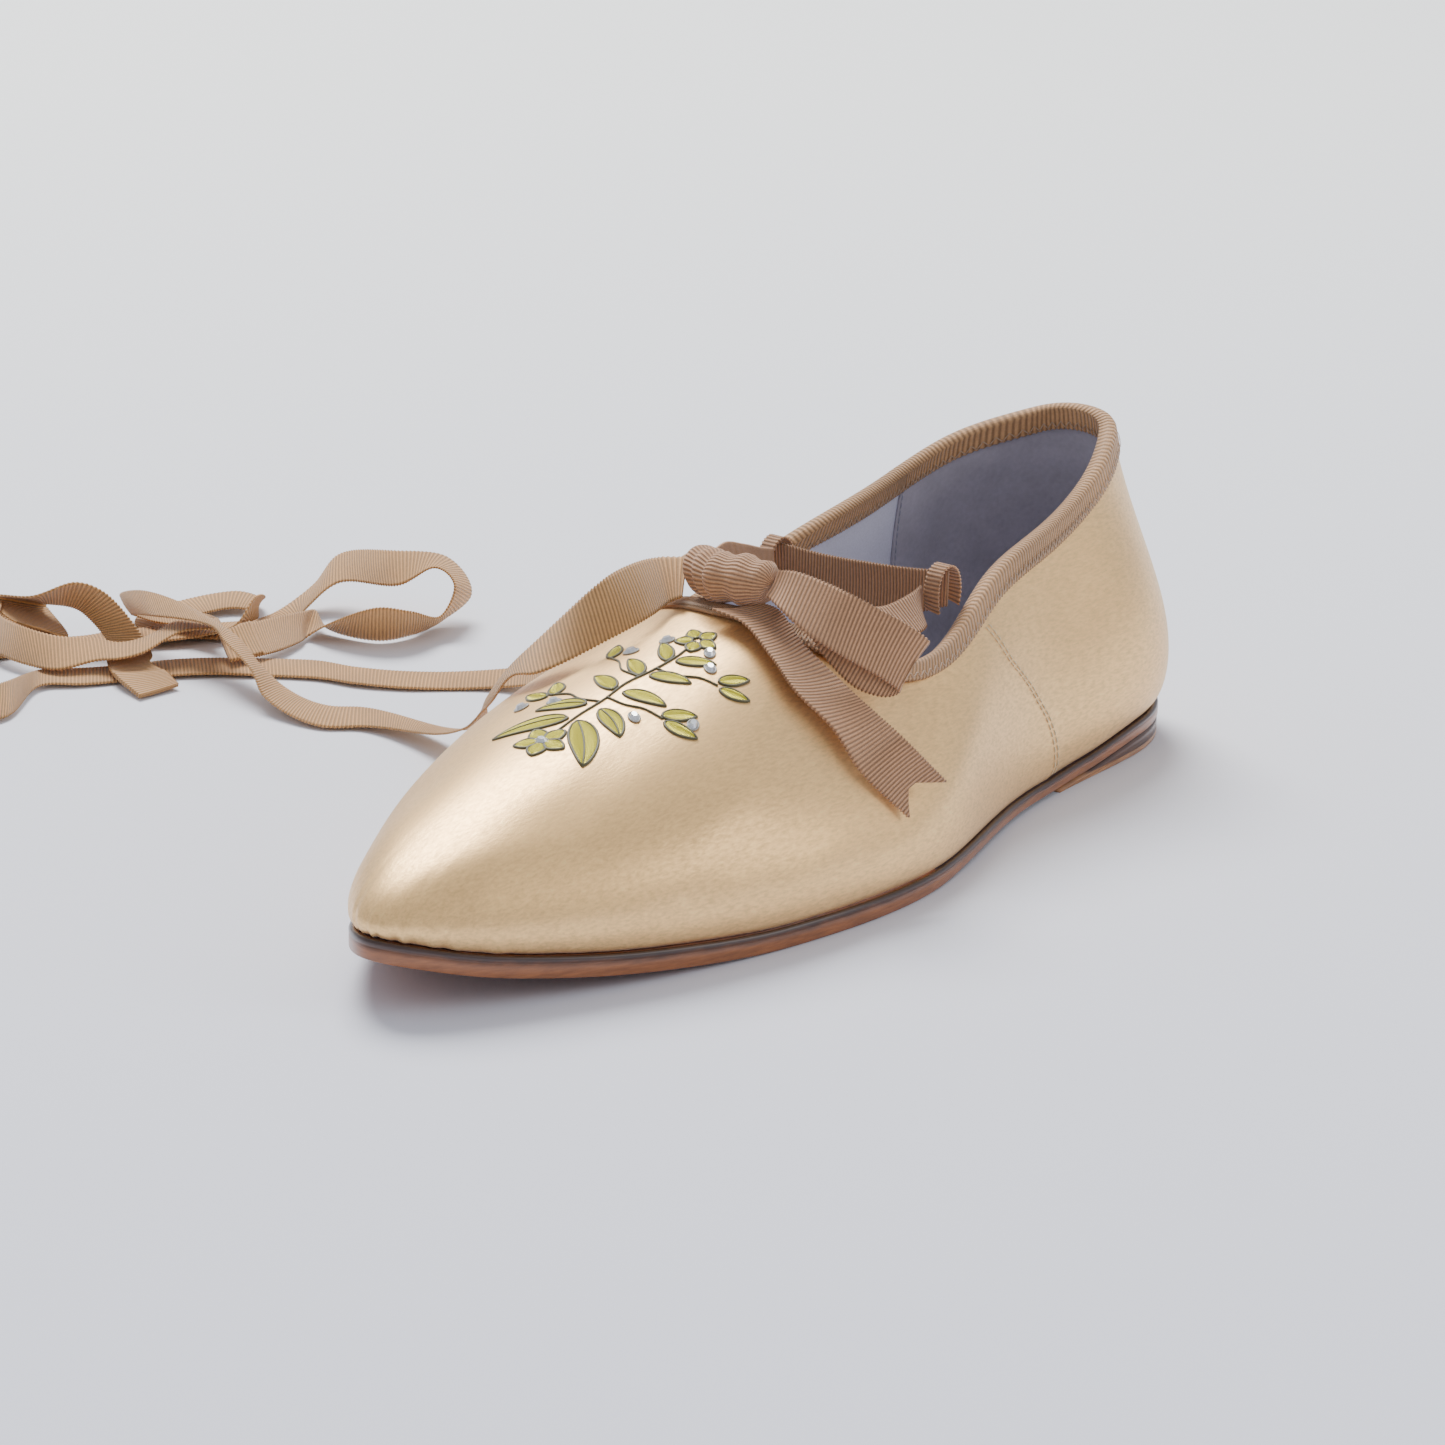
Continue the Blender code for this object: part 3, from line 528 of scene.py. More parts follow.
SIDE_LOOP_INNER = (
    (17.6, 33.6, 46.6, 14.2, 33.6, 47.4),
    (17.6, 33.2, 51.0, 14.2, 33.2, 51.0),
    (17.6, 34.4, 55.0, 14.2, 34.4, 55.0),
    (17.6, 37.0, 56.4, 14.2, 37.0, 56.4),
    (17.6, 39.6, 55.0, 14.2, 39.6, 55.0),
    (17.6, 40.8, 51.0, 14.2, 40.8, 51.0),
    (17.6, 40.4, 47.4, 14.2, 40.4, 48.2),
)
SIDE_LOOP_OUTER = (
    (-28.8, 34.8, 46.2, -32.2, 34.8, 45.4),
    (-28.8, 34.2, 49.0, -32.2, 34.2, 49.0),
    (-28.8, 35.4, 52.4, -32.2, 35.4, 52.4),
    (-28.8, 38.0, 53.8, -32.2, 38.0, 53.8),
    (-28.8, 40.6, 52.4, -32.2, 40.6, 52.4),
    (-28.8, 41.8, 49.0, -32.2, 41.8, 49.0),
    (-28.8, 41.2, 47.0, -32.2, 41.2, 46.2),
)

for name, table, node in (
    ("band_out", FAR_BAND, "far_band"),
    ("band_across", THROAT_BAND, "throat_band"),
    ("band_back", RETURN_BAND, "return_band"),
    ("keeper_inner", SIDE_LOOP_INNER, "side_loop_inner"),
    ("keeper_outer", SIDE_LOOP_OUTER, "side_loop_outer"),
):
    band = ribbon(name, table, 0.15 * MM)
    give(band, shaded_bow_finish)
    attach(band, "root")
    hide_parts(node)


# ---------------------------------------------------------------- upper
# Champagne satin stretched over the last in one piece: a smooth vamp, a pointed oval toe with
# faint gathers just above the sole, and quarters that meet it at a curved seam on each side.
SOLE_LENGTH = 262.0 * MM
BALL_WIDTH = 93.0 * MM
TIP_SWING = 13.2 * MM
TOE_SPRING = 11.0 * MM
ARCH_RISE = 0.9 * MM
SOLE_THICKNESS = 4.5 * MM
HEEL_LIFT_HEIGHT = 4.4 * MM
BACK_HEIGHT = 74.5 * MM
BACK_OVERHANG = 15.6 * MM
THROAT_LINE = 143.2 * MM
THROAT_WIDTH = 66.0 * MM
THROAT_LEAN = 3.2 * MM
WALL = 1.8 * MM
FEATHER_INSET = 1.2 * MM
FEATHER_TUCK = 1.3 * MM
TUCK_DEPTH = 6.0 * MM
CLEARANCE = 0.3 * MM
BINDING_DEPTH = 5.4 * MM
BINDING_THICKNESS = 0.7 * MM
AROUND = 72

# Sole outline, heel back (0) to toe tip (1) by turn: swell on the inner and the outer side,
# as shares of half the ball width
OUTLINE = {
    "turn": (0.0, 0.08, 0.16, 0.26, 0.38, 0.50, 0.60, 0.70, 0.80, 0.90, 1.0),
    "inner": (1.35, 1.23, 1.08, 0.86, 0.79, 1.02, 1.03, 0.94, 0.81, 0.70, 0.63),
    "outer": (1.35, 1.22, 1.06, 0.87, 0.80, 0.94, 0.99, 0.98, 0.84, 0.71, 0.63),
}
# Sole profile by share of the length from the heel: rise of the toe, of the arch and of the lift,
# and the thickness of the outsole, each as a share of its own size
PROFILE = {
    "along": (0.0, 0.10, 0.20, 0.27, 0.35, 0.43, 0.52, 0.68, 0.80, 0.92, 1.0),
    "spring": (0.0, 0.0, 0.0, 0.0, 0.0, 0.0, 0.0, 0.0, 0.16, 0.53, 1.0),
    "arch": (0.0, 0.0, 0.5, 1.0, 1.0, 0.8, 0.0, 0.0, 0.0, 0.0, 0.0),
    "lift": (1.0, 0.90, 0.24, 0.0, 0.0, 0.0, 0.0, 0.0, 0.0, 0.0, 0.0),
    "thick": (0.73, 0.73, 0.70, 0.67, 0.67, 0.73, 0.92, 1.0, 1.02, 1.02, 1.0),
}
# Topline, back (0) to throat (1) by turn: swell as a share of half the throat width and
# height as a share of the back height
TOPLINE = {
    "turn": (0.0, 0.12, 0.25, 0.38, 0.50, 0.62, 0.75, 0.88, 1.0),
    "swell": (1.18, 0.89, 0.81, 0.755, 0.77, 0.99, 1.18, 1.15, 1.13),
    "height": (0.99, 0.962, 0.90, 0.79, 0.71, 0.60, 0.59, 0.70, 0.74),
}
# Ribs of the upper, from the feather edge to the topline, by turn: the turn that each reaches on
# the topline, its lean at the feather edge and its climb at the topline in degrees, and the two
# handle lengths as shares of the back height
RIBS = {
    "turn": (0.0, 0.20, 0.40, 0.55, 0.70, 0.85, 1.0),
    "reach": (0.0, 0.28, 0.45, 0.67, 0.87, 0.95, 1.0),
    "lean": (11.0, 21.0, 6.0, 11.0, 17.0, 15.0, 20.0),
    "foot_handle": (0.31, 0.31, 0.19, 0.22, 0.33, 0.26, 0.20),
    "climb": (82.0, 77.0, 78.0, 50.0, 13.0, 14.0, 13.0),
    "top_handle": (0.27, 0.28, 0.20, 0.31, 0.30, 0.515, 0.60),
}


# Smooth curve through a table's columns, without overshoot between equal rows; it starts and
# ends level, or with free ends on the slope of the last rows
def column(table, key, value, at, free=False):
    xs = np.array(table[key])
    ys = np.array(table[value])
    step = np.diff(xs)
    rise = np.diff(ys) / step
    slope = np.zeros(len(xs))
    for i in range(1, len(xs) - 1):
        if rise[i - 1] * rise[i] > 0:
            before = 2 * step[i] + step[i - 1]
            after = step[i] + 2 * step[i - 1]
            slope[i] = (before + after) / (before / rise[i - 1] + after / rise[i])
    if free:
        slope[0] = rise[0]
        slope[-1] = rise[-1]
    at = np.clip(at, xs[0], xs[-1])
    i = np.clip(np.searchsorted(xs, at, side="right") - 1, 0, len(step) - 1)
    u = (at - xs[i]) / step[i]
    start = ys[i] * (1 + 2 * u) * (1 - u) ** 2 + ys[i + 1] * (3 - 2 * u) * u ** 2
    bend = slope[i] * u * (1 - u) ** 2 - slope[i + 1] * (1 - u) * u ** 2
    return start + bend * step[i]


# Cubic spline through a table's columns, level at both ends, for the flowing outlines
def flowing(table, key, value, at):
    xs = np.array(table[key])
    ys = np.array(table[value])
    step = np.diff(xs)
    count = len(xs)
    system = np.eye(count)
    right = np.zeros(count)
    for i in range(1, count - 1):
        system[i, i - 1:i + 2] = (step[i - 1], 2 * (step[i - 1] + step[i]), step[i])
        right[i] = 6 * ((ys[i + 1] - ys[i]) / step[i] - (ys[i] - ys[i - 1]) / step[i - 1])
    system[0, 0:2] = (2 * step[0], step[0])
    right[0] = 6 * (ys[1] - ys[0]) / step[0]
    system[-1, -2:] = (step[-1], 2 * step[-1])
    right[-1] = -6 * (ys[-1] - ys[-2]) / step[-1]
    bend = np.linalg.solve(system, right)
    i = np.clip(np.searchsorted(xs, at, side="right") - 1, 0, count - 2)
    before = xs[i + 1] - at
    after = at - xs[i]
    curve = (bend[i] * before ** 3 + bend[i + 1] * after ** 3) / (6 * step[i])
    curve += (ys[i] / step[i] - bend[i] * step[i] / 6) * before
    return curve + (ys[i + 1] / step[i] - bend[i + 1] * step[i] / 6) * after


# A turn runs from 0 at the heel back, over the inner side, to 1 at the toe and back to 2
def fold(turn):
    turn = np.mod(turn, 2.0)
    return np.where(turn <= 1, turn, 2 - turn), np.where(turn <= 1, 1.0, -1.0)


def along_of(turn):
    half, side = fold(turn)
    return (1 - np.cos(half * math.pi)) / 2


def turns(count):
    return np.arange(count) * 2.0 / count


# Sideways place of the outline, from the line through the middle of the heel
def spread(turn):
    half, side = fold(turn)
    inner = flowing(OUTLINE, "turn", "inner", half)
    outer = flowing(OUTLINE, "turn", "outer", half)
    swell = np.where(side > 0, inner, outer) * BALL_WIDTH / 2
    return side * np.sin(half * math.pi) * swell + TIP_SWING * along_of(turn) ** 2


# The shoe stands with the middle of its width at x = 0
MIDDLE = (spread(turns(AROUND)).max() + spread(turns(AROUND)).min()) / 2


def swing(along):
    return TIP_SWING * along ** 2 - MIDDLE


def outline(turn):
    return spread(turn) - MIDDLE, SOLE_LENGTH * (0.5 - along_of(turn))


def outward(turn):
    small = 1e-3
    x0, y0 = outline(turn - small)
    x1, y1 = outline(turn + small)
    size = np.hypot(x1 - x0, y1 - y0)
    return (y0 - y1) / size, (x1 - x0) / size


def lift_top(along):
    return HEEL_LIFT_HEIGHT * column(PROFILE, "along", "lift", along)


def sole_bottom(along):
    spring = TOE_SPRING * column(PROFILE, "along", "spring", along, free=True)
    arch = ARCH_RISE * column(PROFILE, "along", "arch", along)
    lift = column(PROFILE, "along", "lift", along)
    return spring + arch + lift_top(along) + CLEARANCE * np.minimum(lift * 5, 1)


def sole_top(along):
    return sole_bottom(along) + SOLE_THICKNESS * column(PROFILE, "along", "thick", along)


def ring(turn, inset, height):
    x, y = outline(turn)
    across, ahead = outward(turn)
    return np.stack([x - across * inset, y - ahead * inset, height], -1)


def feather(turn):
    return ring(turn, FEATHER_INSET, sole_top(along_of(turn)) + CLEARANCE)


def topline(turn):
    half, side = fold(turn)
    back = SOLE_LENGTH / 2 - BACK_OVERHANG
    front = SOLE_LENGTH / 2 - THROAT_LINE
    y = back - (back - front) * (1 - np.cos(half * math.pi)) / 2
    swell = flowing(TOPLINE, "turn", "swell", half) * THROAT_WIDTH / 2
    across = np.sin(half * math.pi)
    x = side * across * swell + swing(0.5 - y / SOLE_LENGTH) - THROAT_LEAN * across ** 2
    return np.stack([x, y, BACK_HEIGHT * flowing(TOPLINE, "turn", "height", half)], -1)


# Outer face of the upper at a turn and a rise from the feather edge (0) to the topline (1)
def upper_face(turn, rise):
    turn = np.asarray(turn, float)
    half, side = fold(turn)
    reach = column(RIBS, "turn", "reach", half, free=True)
    foot = feather(turn)
    top = topline(np.where(side > 0, reach, 2 - reach))
    across, ahead = outward(turn)
    out = np.stack([across, ahead, np.zeros_like(across)], -1)
    up = np.array([0.0, 0.0, 1.0])
    lean = np.radians(column(RIBS, "turn", "lean", half))[..., None]
    climb = np.radians(column(RIBS, "turn", "climb", half))[..., None]
    foot_handle = (BACK_HEIGHT * column(RIBS, "turn", "foot_handle", half))[..., None]
    top_handle = (BACK_HEIGHT * column(RIBS, "turn", "top_handle", half))[..., None]
    chord = top - foot
    chord[..., 2] = 0
    chord /= np.linalg.norm(chord, axis=-1, keepdims=True)
    blend = np.clip((half - 0.3) / 0.4, 0, 1)[..., None]
    blend = blend * blend * (3 - 2 * blend)
    inward = chord * blend - out * (1 - blend)
    inward /= np.linalg.norm(inward, axis=-1, keepdims=True)
    first = foot + foot_handle * (out * np.sin(lean) + up * np.cos(lean))
    second = top - top_handle * (inward * np.cos(climb) + up * np.sin(climb))
    rise = np.asarray(rise, float)[..., None]
    face = (1 - rise) ** 3 * foot + 3 * (1 - rise) ** 2 * rise * first
    face += 3 * (1 - rise) * rise ** 2 * second + rise ** 3 * top
    above = (face - foot)[..., 2:]
    return face + out * FEATHER_TUCK * (1 - np.exp(-np.maximum(above, 0) / TUCK_DEPTH * 3))


# Rise at which a rib is still the given distance below the topline
def rise_below(turn, distance):
    half, side = fold(turn)
    handle = BACK_HEIGHT * column(RIBS, "turn", "top_handle", half)
    return 1 - distance / (3 * handle)


def face_normal(turn, rise):
    small = 1e-3
    along = upper_face(turn + small, rise) - upper_face(turn - small, rise)
    upward = upper_face(turn, rise) - upper_face(turn, rise - 2 * small)
    normal = np.cross(upward, along)
    return normal / np.linalg.norm(normal, axis=-1, keepdims=True)


# Faces across a ring of points, from the inner side to the outer side
def cap_faces(start, count, upward):
    half = count // 2
    faces = []
    for i in range(half):
        j = (count - i) % count
        face = (start + i, start + i + 1, start + count - i - 1, start + j)
        if i == 0:
            face = (start, start + 1, start + count - 1)
        if i == half - 1:
            face = (start + i, start + i + 1, start + j)
        faces.append(face[::-1] if upward else face)
    return faces


# Drag lines of the satin by fold: where each starts and ends, by turn and by rise, its width and
# its depth in millimetres
CREASES = (
    (0.62, 0.93, 0.66, 0.45, 5.0, -0.45),
    (0.58, 0.60, 0.63, 0.10, 6.0, 0.40),
    (0.66, 0.30, 0.72, 0.04, 4.0, -0.35),
    (1.36, 0.90, 1.33, 0.40, 5.0, -0.40),
    (1.42, 0.55, 1.37, 0.10, 6.0, 0.35),
    (0.80, 0.34, 0.93, 0.25, 5.0, 0.35),
    (1.06, 0.25, 1.20, 0.32, 5.0, 0.30),
    (0.88, 0.14, 1.10, 0.13, 3.0, -0.30),
)
# Curved side seam, from the topline to the feather edge: turn by rise
SEAM = {
    "rise": (0.0, 0.03, 0.155, 0.265, 0.425, 0.63, 0.91, 1.0),
    "turn": (0.333, 0.330, 0.335, 0.345, 0.3725, 0.4225, 0.470, 0.485),
}
SEAM_LAP = 0.28 * MM
LAP_EDGE = 0.5 * MM
LAP_FADE = 14 * MM
GATHER = 0.16 * MM
GATHER_HEIGHT = 4.5 * MM
SLACK = 0.10 * MM
SATIN_BODY = 1.0 * MM
UPPER_AROUND = 512
UPPER_RISE = 72


# How far the satin stands off the smooth last: drag lines, gathers, slack and the lap at the seam
def satin_relief(turn, rise, face):
    lift = np.zeros(turn.shape)
    for turn0, rise0, turn1, rise1, width, depth in CREASES:
        start = upper_face(np.array([turn0]), np.array([rise0]))[0]
        end = upper_face(np.array([turn1]), np.array([rise1]))[0]
        run = end - start
        share = np.clip(((face - start) @ run) / (run @ run), 0, 1)
        away = np.linalg.norm(face - (start + share[..., None] * run), axis=-1)
        fade = np.sin(math.pi * np.clip(share, 0.04, 0.96)) ** 0.5
        lift += depth * MM * fade * np.exp(-(away / (width * MM)) ** 2)
    half, side = fold(turn)
    toe = np.clip((half - 0.72) / 0.2, 0, 1)
    low = np.exp(-np.maximum(face[..., 2] - feather(turn)[..., 2], 0) / GATHER_HEIGHT)
    pleats = np.sin(turn * math.pi * 61) + 0.6 * np.sin(turn * math.pi * 97 + 1.3)
    lift += GATHER * toe * low * pleats
    lift += SLACK * np.sin(face[..., 0] * 160 + 1.0) * np.sin(face[..., 1] * 120 + 0.4)
    seam = column(SEAM, "rise", "turn", rise, free=True)
    ahead = (half - seam) * SOLE_LENGTH * math.pi / 2 * np.sin(math.pi * seam)
    lift += SEAM_LAP / (1 + np.exp(-ahead / LAP_EDGE)) * np.exp(-np.maximum(ahead, 0) / LAP_FADE)
    return lift


turn = turns(UPPER_AROUND)
stop = rise_below(turn, BINDING_THICKNESS + 2 * CLEARANCE)
grid = np.linspace(0, 1, UPPER_RISE)[:, None] ** 1.15 * stop[None, :]
turn_grid = np.repeat(turn[None, :], UPPER_RISE, axis=0)
face = upper_face(turn_grid, grid)
normal = face_normal(turn_grid, grid)
face = face + normal * satin_relief(turn_grid, grid, face)[..., None]
satin_body = surface("upper_satin", face, closed=True)
thicken(satin_body, SATIN_BODY, -1)

# Satin: a warm thread colour with a broad, directional gloss and a fine grain of floats
SATIN_GOLD = (0.95, 0.60, 0.25)
satin, shader = blank_finish("champagne_satin", 0.36)
shader.inputs["Metallic"].default_value = 0.6
shader.inputs["Sheen Weight"].default_value = 0.15
shader.inputs["Anisotropic"].default_value = 0.35
place = place_on(satin)
floats = add_node(satin, "ShaderNodeMapping", {"Vector": place})
floats.inputs["Scale"].default_value = (1.0, 0.28, 1.0)
grain = noise(satin, floats.outputs[0], 1700.0, 3.0, 0.6)
dye(satin, SATIN_GOLD, tones(satin, grain, 0.82, 1.14), tones(satin, noise(satin, place, 38.0), 0.96, 1.03))
connect(satin, tones(satin, grain, 0.42, 0.33), "Roughness")
relief(satin, grain, 0.35, 0.10 * MM)
give(satin_body, satin)
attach(satin_body, "root")
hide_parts("upper")


# ---------------------------------------------------------------- side seams
# Each quarter is lapped by the vamp and held by two rows of short cream stitches.
# By ring of a stitch: place along it, girth and height
STITCH_SHAPE = ((-0.5, 0.55, -0.1), (-0.22, 1.0, 0.75), (0.22, 1.0, 0.75), (0.5, 0.55, -0.1))
# By corner of a ring: place across the stitch and up from the satin
STITCH_RING = ((-1, 0), (-0.6, 0.8), (0.6, 0.8), (1, 0))


def stitch_mesh(name, stitches, radius):
    verts = []
    faces = []
    for start, end, normal in stitches:
        run = end - start
        side = np.cross(run, normal)
        side /= max(np.linalg.norm(side), 1e-9)
        base = len(verts)
        for share, girth, height in STITCH_SHAPE:
            middle = start + run * (share + 0.5)
            for across, up in STITCH_RING:
                away = side * across * radius * girth + normal * radius * (up * girth + height)
                verts.append(middle + away)
        for row in range(3):
            low = base + row * 4
            faces.extend((low + i, low + i + 1, low + i + 5, low + i + 4) for i in range(3))
        faces.append((base + 3, base + 2, base + 1, base))
        faces.append(tuple(base + 12 + i for i in range(4)))
        faces.extend((low, low + 4, low + 7, low + 3) for low in (base, base + 4, base + 8))
    mesh = bpy.data.meshes.new(name)
    mesh.from_pydata([tuple(v) for v in verts], [], faces)
    mesh.shade_smooth()
    made = bpy.data.objects.new(name, mesh)
    bpy.context.scene.collection.objects.link(made)
    return made


# Starts, ends and outward directions of the stitches along a line
def stitch_run(line, out):
    place = length_along(line)
    run = []
    for at in np.arange(0, place[-1] - STITCH_LENGTH, STITCH_PITCH):
        start, end = (np.array([np.interp(at + d, place, line[:, j]) for j in range(3)])
                      for d in (0, STITCH_LENGTH))
        run.append((start, end, np.array([np.interp(at, place, out[:, j]) for j in range(3)])))
    return run


def thread_finish(name, colour, roughness, scale):
    made, shader = blank_finish(name, roughness)
    shader.inputs["Sheen Weight"].default_value = 0.3
    twist = noise(made, place_on(made), scale)
    dye(made, colour, tones(made, twist, 0.78, 1.1))
    relief(made, twist, 0.5, 0.08 * MM)
    return made


# In turns of the outline: 1.6 mm between the rows at 0.41 m to a turn, and the first row's shift
SEAM_ROW_GAP = 0.0016 / 0.41
SEAM_SHIFT = 0.0012
STITCH_LENGTH = 1.5 * MM
STITCH_PITCH = 1.95 * MM
STITCH_RADIUS = 0.17 * MM
THREAD_TWIST = 2400.0
cream_thread = thread_finish("cream_thread", (0.74, 0.60, 0.36), 0.6, THREAD_TWIST)
runs = []
for side in (1, -1):
    for row in (0, 1):
        rise = np.linspace(0.02, 0.90, 600)
        half = column(SEAM, "rise", "turn", rise, free=True) + row * SEAM_ROW_GAP + SEAM_SHIFT
        around = half if side > 0 else 2 - half
        line = upper_face(around, rise)
        out = face_normal(around, rise)
        line = line + out * (satin_relief(around, rise, line) + 0.02 * MM)[:, None]
        runs += stitch_run(line, out)
seams = stitch_mesh("seam_stitches", runs, STITCH_RADIUS)
give(seams, cream_thread)
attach(seams, "root")


# ---------------------------------------------------------------- lining
# White cotton inside the vamp and the front of the quarters, and a grey-lilac suede heel lining
# that overlaps it at an upright stitched join.
LINING_JOIN = 87.5 * MM
LINING_BODY = 0.3 * MM
LINING_FOOT = 0.03
LINING_TOP = 1.3 * MM
COTTON_INSET = 1.35 * MM
SUEDE_INSET = 1.72 * MM
SUEDE_STATIONS = 120
JOIN_INSET = 1.9 * MM
JOIN_MARGIN = 0.006
JOIN_RADIUS = 0.12 * MM
LINING_AROUND = 256
LINING_RISE = 24


def cloth_finish(name, colour, fine, deep, roughness):
    made, shader = blank_finish(name, roughness)
    shader.inputs["Sheen Weight"].default_value = 0.35
    shader.inputs["Sheen Roughness"].default_value = 0.5
    shader.inputs["Specular IOR Level"].default_value = 0.2
    place = place_on(made)
    grain = noise(made, place, fine, 4.0)
    cloud = noise(made, place, 70.0, 3.0)
    dye(made, colour, tones(made, grain, 0.93, 1.05), tones(made, cloud, deep, 1.05))
    relief(made, grain, 0.4, 0.15 * MM)
    return made


cotton = cloth_finish("white_cotton", (0.66, 0.67, 0.80), 2200.0, 0.95, 0.8)
suede = cloth_finish("lilac_suede", (0.42, 0.40, 0.47), 900.0, 0.82, 0.9)


def inner_sheet(name, turn, inset, finish):
    stop = rise_below(turn, LINING_TOP)
    grid = LINING_FOOT + np.linspace(0, 1, LINING_RISE)[:, None] * (stop - LINING_FOOT)[None, :]
    around = np.repeat(turn[None, :], LINING_RISE, axis=0)
    points = upper_face(around, grid) - face_normal(around, grid) * inset
    made = surface(name, points, closed=len(turn) == LINING_AROUND)
    thicken(made, LINING_BODY, 0)
    give(made, finish)
    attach(made, "root")
    return made


inner_sheet("lining_front", turns(LINING_AROUND), COTTON_INSET, cotton)
reach = math.acos(1 - 2 * (0.5 - LINING_JOIN / SOLE_LENGTH)) / math.pi
inner_sheet("lining_heel", np.linspace(-reach, reach, SUEDE_STATIONS), SUEDE_INSET, suede)
runs = []
for side in (1, -1):
    rise = np.linspace(0.10, 0.93, 400)
    around = np.full(400, side * (reach - JOIN_MARGIN))
    out = -face_normal(around, rise)
    runs += stitch_run(upper_face(around, rise) + out * JOIN_INSET, out)
join_stitches = stitch_mesh("lining_stitches", runs, JOIN_RADIUS)
lilac_thread = thread_finish("lilac_thread", (0.30, 0.30, 0.40), 0.7, THREAD_TWIST)
give(join_stitches, lilac_thread)
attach(join_stitches, "root")


# ---------------------------------------------------------------- insole
# Full sock of the same grey-lilac suede on the outsole, slightly dished under the foot.
INSOLE_THICKNESS = 2.0 * MM
INSOLE_AROUND = 240
turn = turns(INSOLE_AROUND)
base = sole_top(along_of(turn)) + CLEARANCE
inset = FEATHER_INSET + WALL + 2.5 * CLEARANCE
rows = [
    ring(turn, inset, base),
    ring(turn, inset, base + INSOLE_THICKNESS * 0.6),
    ring(turn, inset + INSOLE_THICKNESS * 0.15, base + INSOLE_THICKNESS * 0.88),
    ring(turn, inset + INSOLE_THICKNESS * 0.4, base + INSOLE_THICKNESS),
    ring(turn, inset + 4 * MM, base + INSOLE_THICKNESS * 0.96),
]
sock = surface("insole_sock", np.stack(rows), closed=True, caps=True)
give(sock, suede)
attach(sock, "root")
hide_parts("insole")


# ---------------------------------------------------------------- binding
# A second width of the grosgrain is folded over the topline and held inside and out by a row of
# zigzag stitches along its lower edges. Its ends lap on the outer quarter.
BINDING_BODY = 0.55 * MM
BINDING_LOOP = 0.32 * MM
BINDING_TAN = (0.64, 0.36, 0.175)
edge_turns = np.linspace(0, 2, 4001)
edge_place = length_along(topline(edge_turns))
edge_ribs = round(edge_place[-1] / RIB_PITCH)


# Turns of a number of points evenly spaced round the topline
def round_topline(count):
    return np.interp(np.linspace(0, edge_place[-1], count + 1)[:-1], edge_place, edge_turns)


turn = round_topline(edge_ribs * RIB_STATIONS)
half_body = BINDING_THICKNESS / 2
outside = CLEARANCE + half_body
inside = -WALL - CLEARANCE - half_body
over = CLEARANCE + BINDING_THICKNESS
loops = BINDING_LOOP * (0.5 - 0.5 * np.cos(np.arange(len(turn)) / RIB_STATIONS * 2 * math.pi))


def binding_rows(turn, loops):
    rows = []
    for depth, out, share in (
        (BINDING_DEPTH, outside, 1.0),
        (BINDING_DEPTH * 0.94, outside, 0.0),
        (BINDING_DEPTH * 0.6, outside, 0.0),
        (BINDING_DEPTH * 0.33, outside, 0.0),
        (over + CLEARANCE, outside, 0.0),
        (half_body + CLEARANCE, outside * 0.5, 0.0),
        (half_body, -WALL / 2, 0.0),
        (half_body + CLEARANCE, inside - outside * 0.5, 0.0),
        (over + CLEARANCE, inside, 0.0),
        (BINDING_DEPTH * 0.6, inside, 0.0),
        (BINDING_DEPTH * 0.94, inside, 0.0),
        (BINDING_DEPTH, inside, 1.0),
    ):
        rise = rise_below(turn, depth + share * (loops - BINDING_LOOP / 2))
        rows.append(upper_face(turn, rise) + face_normal(turn, rise) * out)
    return np.stack(rows)


points = binding_rows(turn, loops)
warp = np.arange(len(turn) + 1) / RIB_STATIONS
weft = np.linspace(0, 1, len(points))[:, None]
binding = surface("binding", points, warp, weft, closed=True)
thicken(binding, BINDING_BODY, 0)
binding_finish = grosgrain_finish("grosgrain_binding", BINDING_TAN, 0.50)
give(binding, binding_finish)
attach(binding, "root")
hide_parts("topline_binding")

# The lapped end of the binding
LAP_TURNS = (1.716, 1.736)
LAP_STATIONS = 29
LAP_LIFT = 0.45 * MM
turn = np.linspace(*LAP_TURNS, LAP_STATIONS)
points = binding_rows(turn, np.zeros(LAP_STATIONS))
lap_out = points - topline(turn)[None, :, :]
points = points + lap_out / np.linalg.norm(lap_out, axis=-1, keepdims=True) * LAP_LIFT
lap = surface("binding_lap", points, np.arange(LAP_STATIONS) / RIB_STATIONS, weft)
thicken(lap, BINDING_BODY, 0)
give(lap, binding_finish)
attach(lap, "root")

# Zigzag rows: pitch, depths of the upper and the lower points, height over the ribbon's middle
ZIG_PITCH = 1.7 * MM
ZIG_DEPTHS = (3.5 * MM, 4.95 * MM)
ZIG_LIFT = 0.42 * MM
ZIG_RADIUS = 0.13 * MM
tan_thread = thread_finish("tan_thread", (0.50, 0.34, 0.22), 0.6, THREAD_TWIST)
for name, out in (("zigzag_outside", outside + ZIG_LIFT), ("zigzag_inside", inside - ZIG_LIFT)):
    zigs = round(edge_place[-1] / ZIG_PITCH) * 2
    turn = round_topline(zigs)
    depth = np.where(np.arange(zigs) % 2 == 0, *ZIG_DEPTHS)
    rise = rise_below(turn, depth)
    knots = upper_face(turn, rise) + face_normal(turn, rise) * out
    ups = face_normal(turn, rise) * np.sign(out)
    stitches = stitch_mesh(name, zip(knots, np.roll(knots, -1, axis=0), ups), ZIG_RADIUS)
    give(stitches, tan_thread)
    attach(stitches, "root")


# ---------------------------------------------------------------- outsole
# Brown leather sole in one length. Its edge is inked dark and waxed along the top and left
# redder below, where the cut leather shows.
SOLE_AROUND = 400
EDGE_ROUNDING = 0.8 * MM


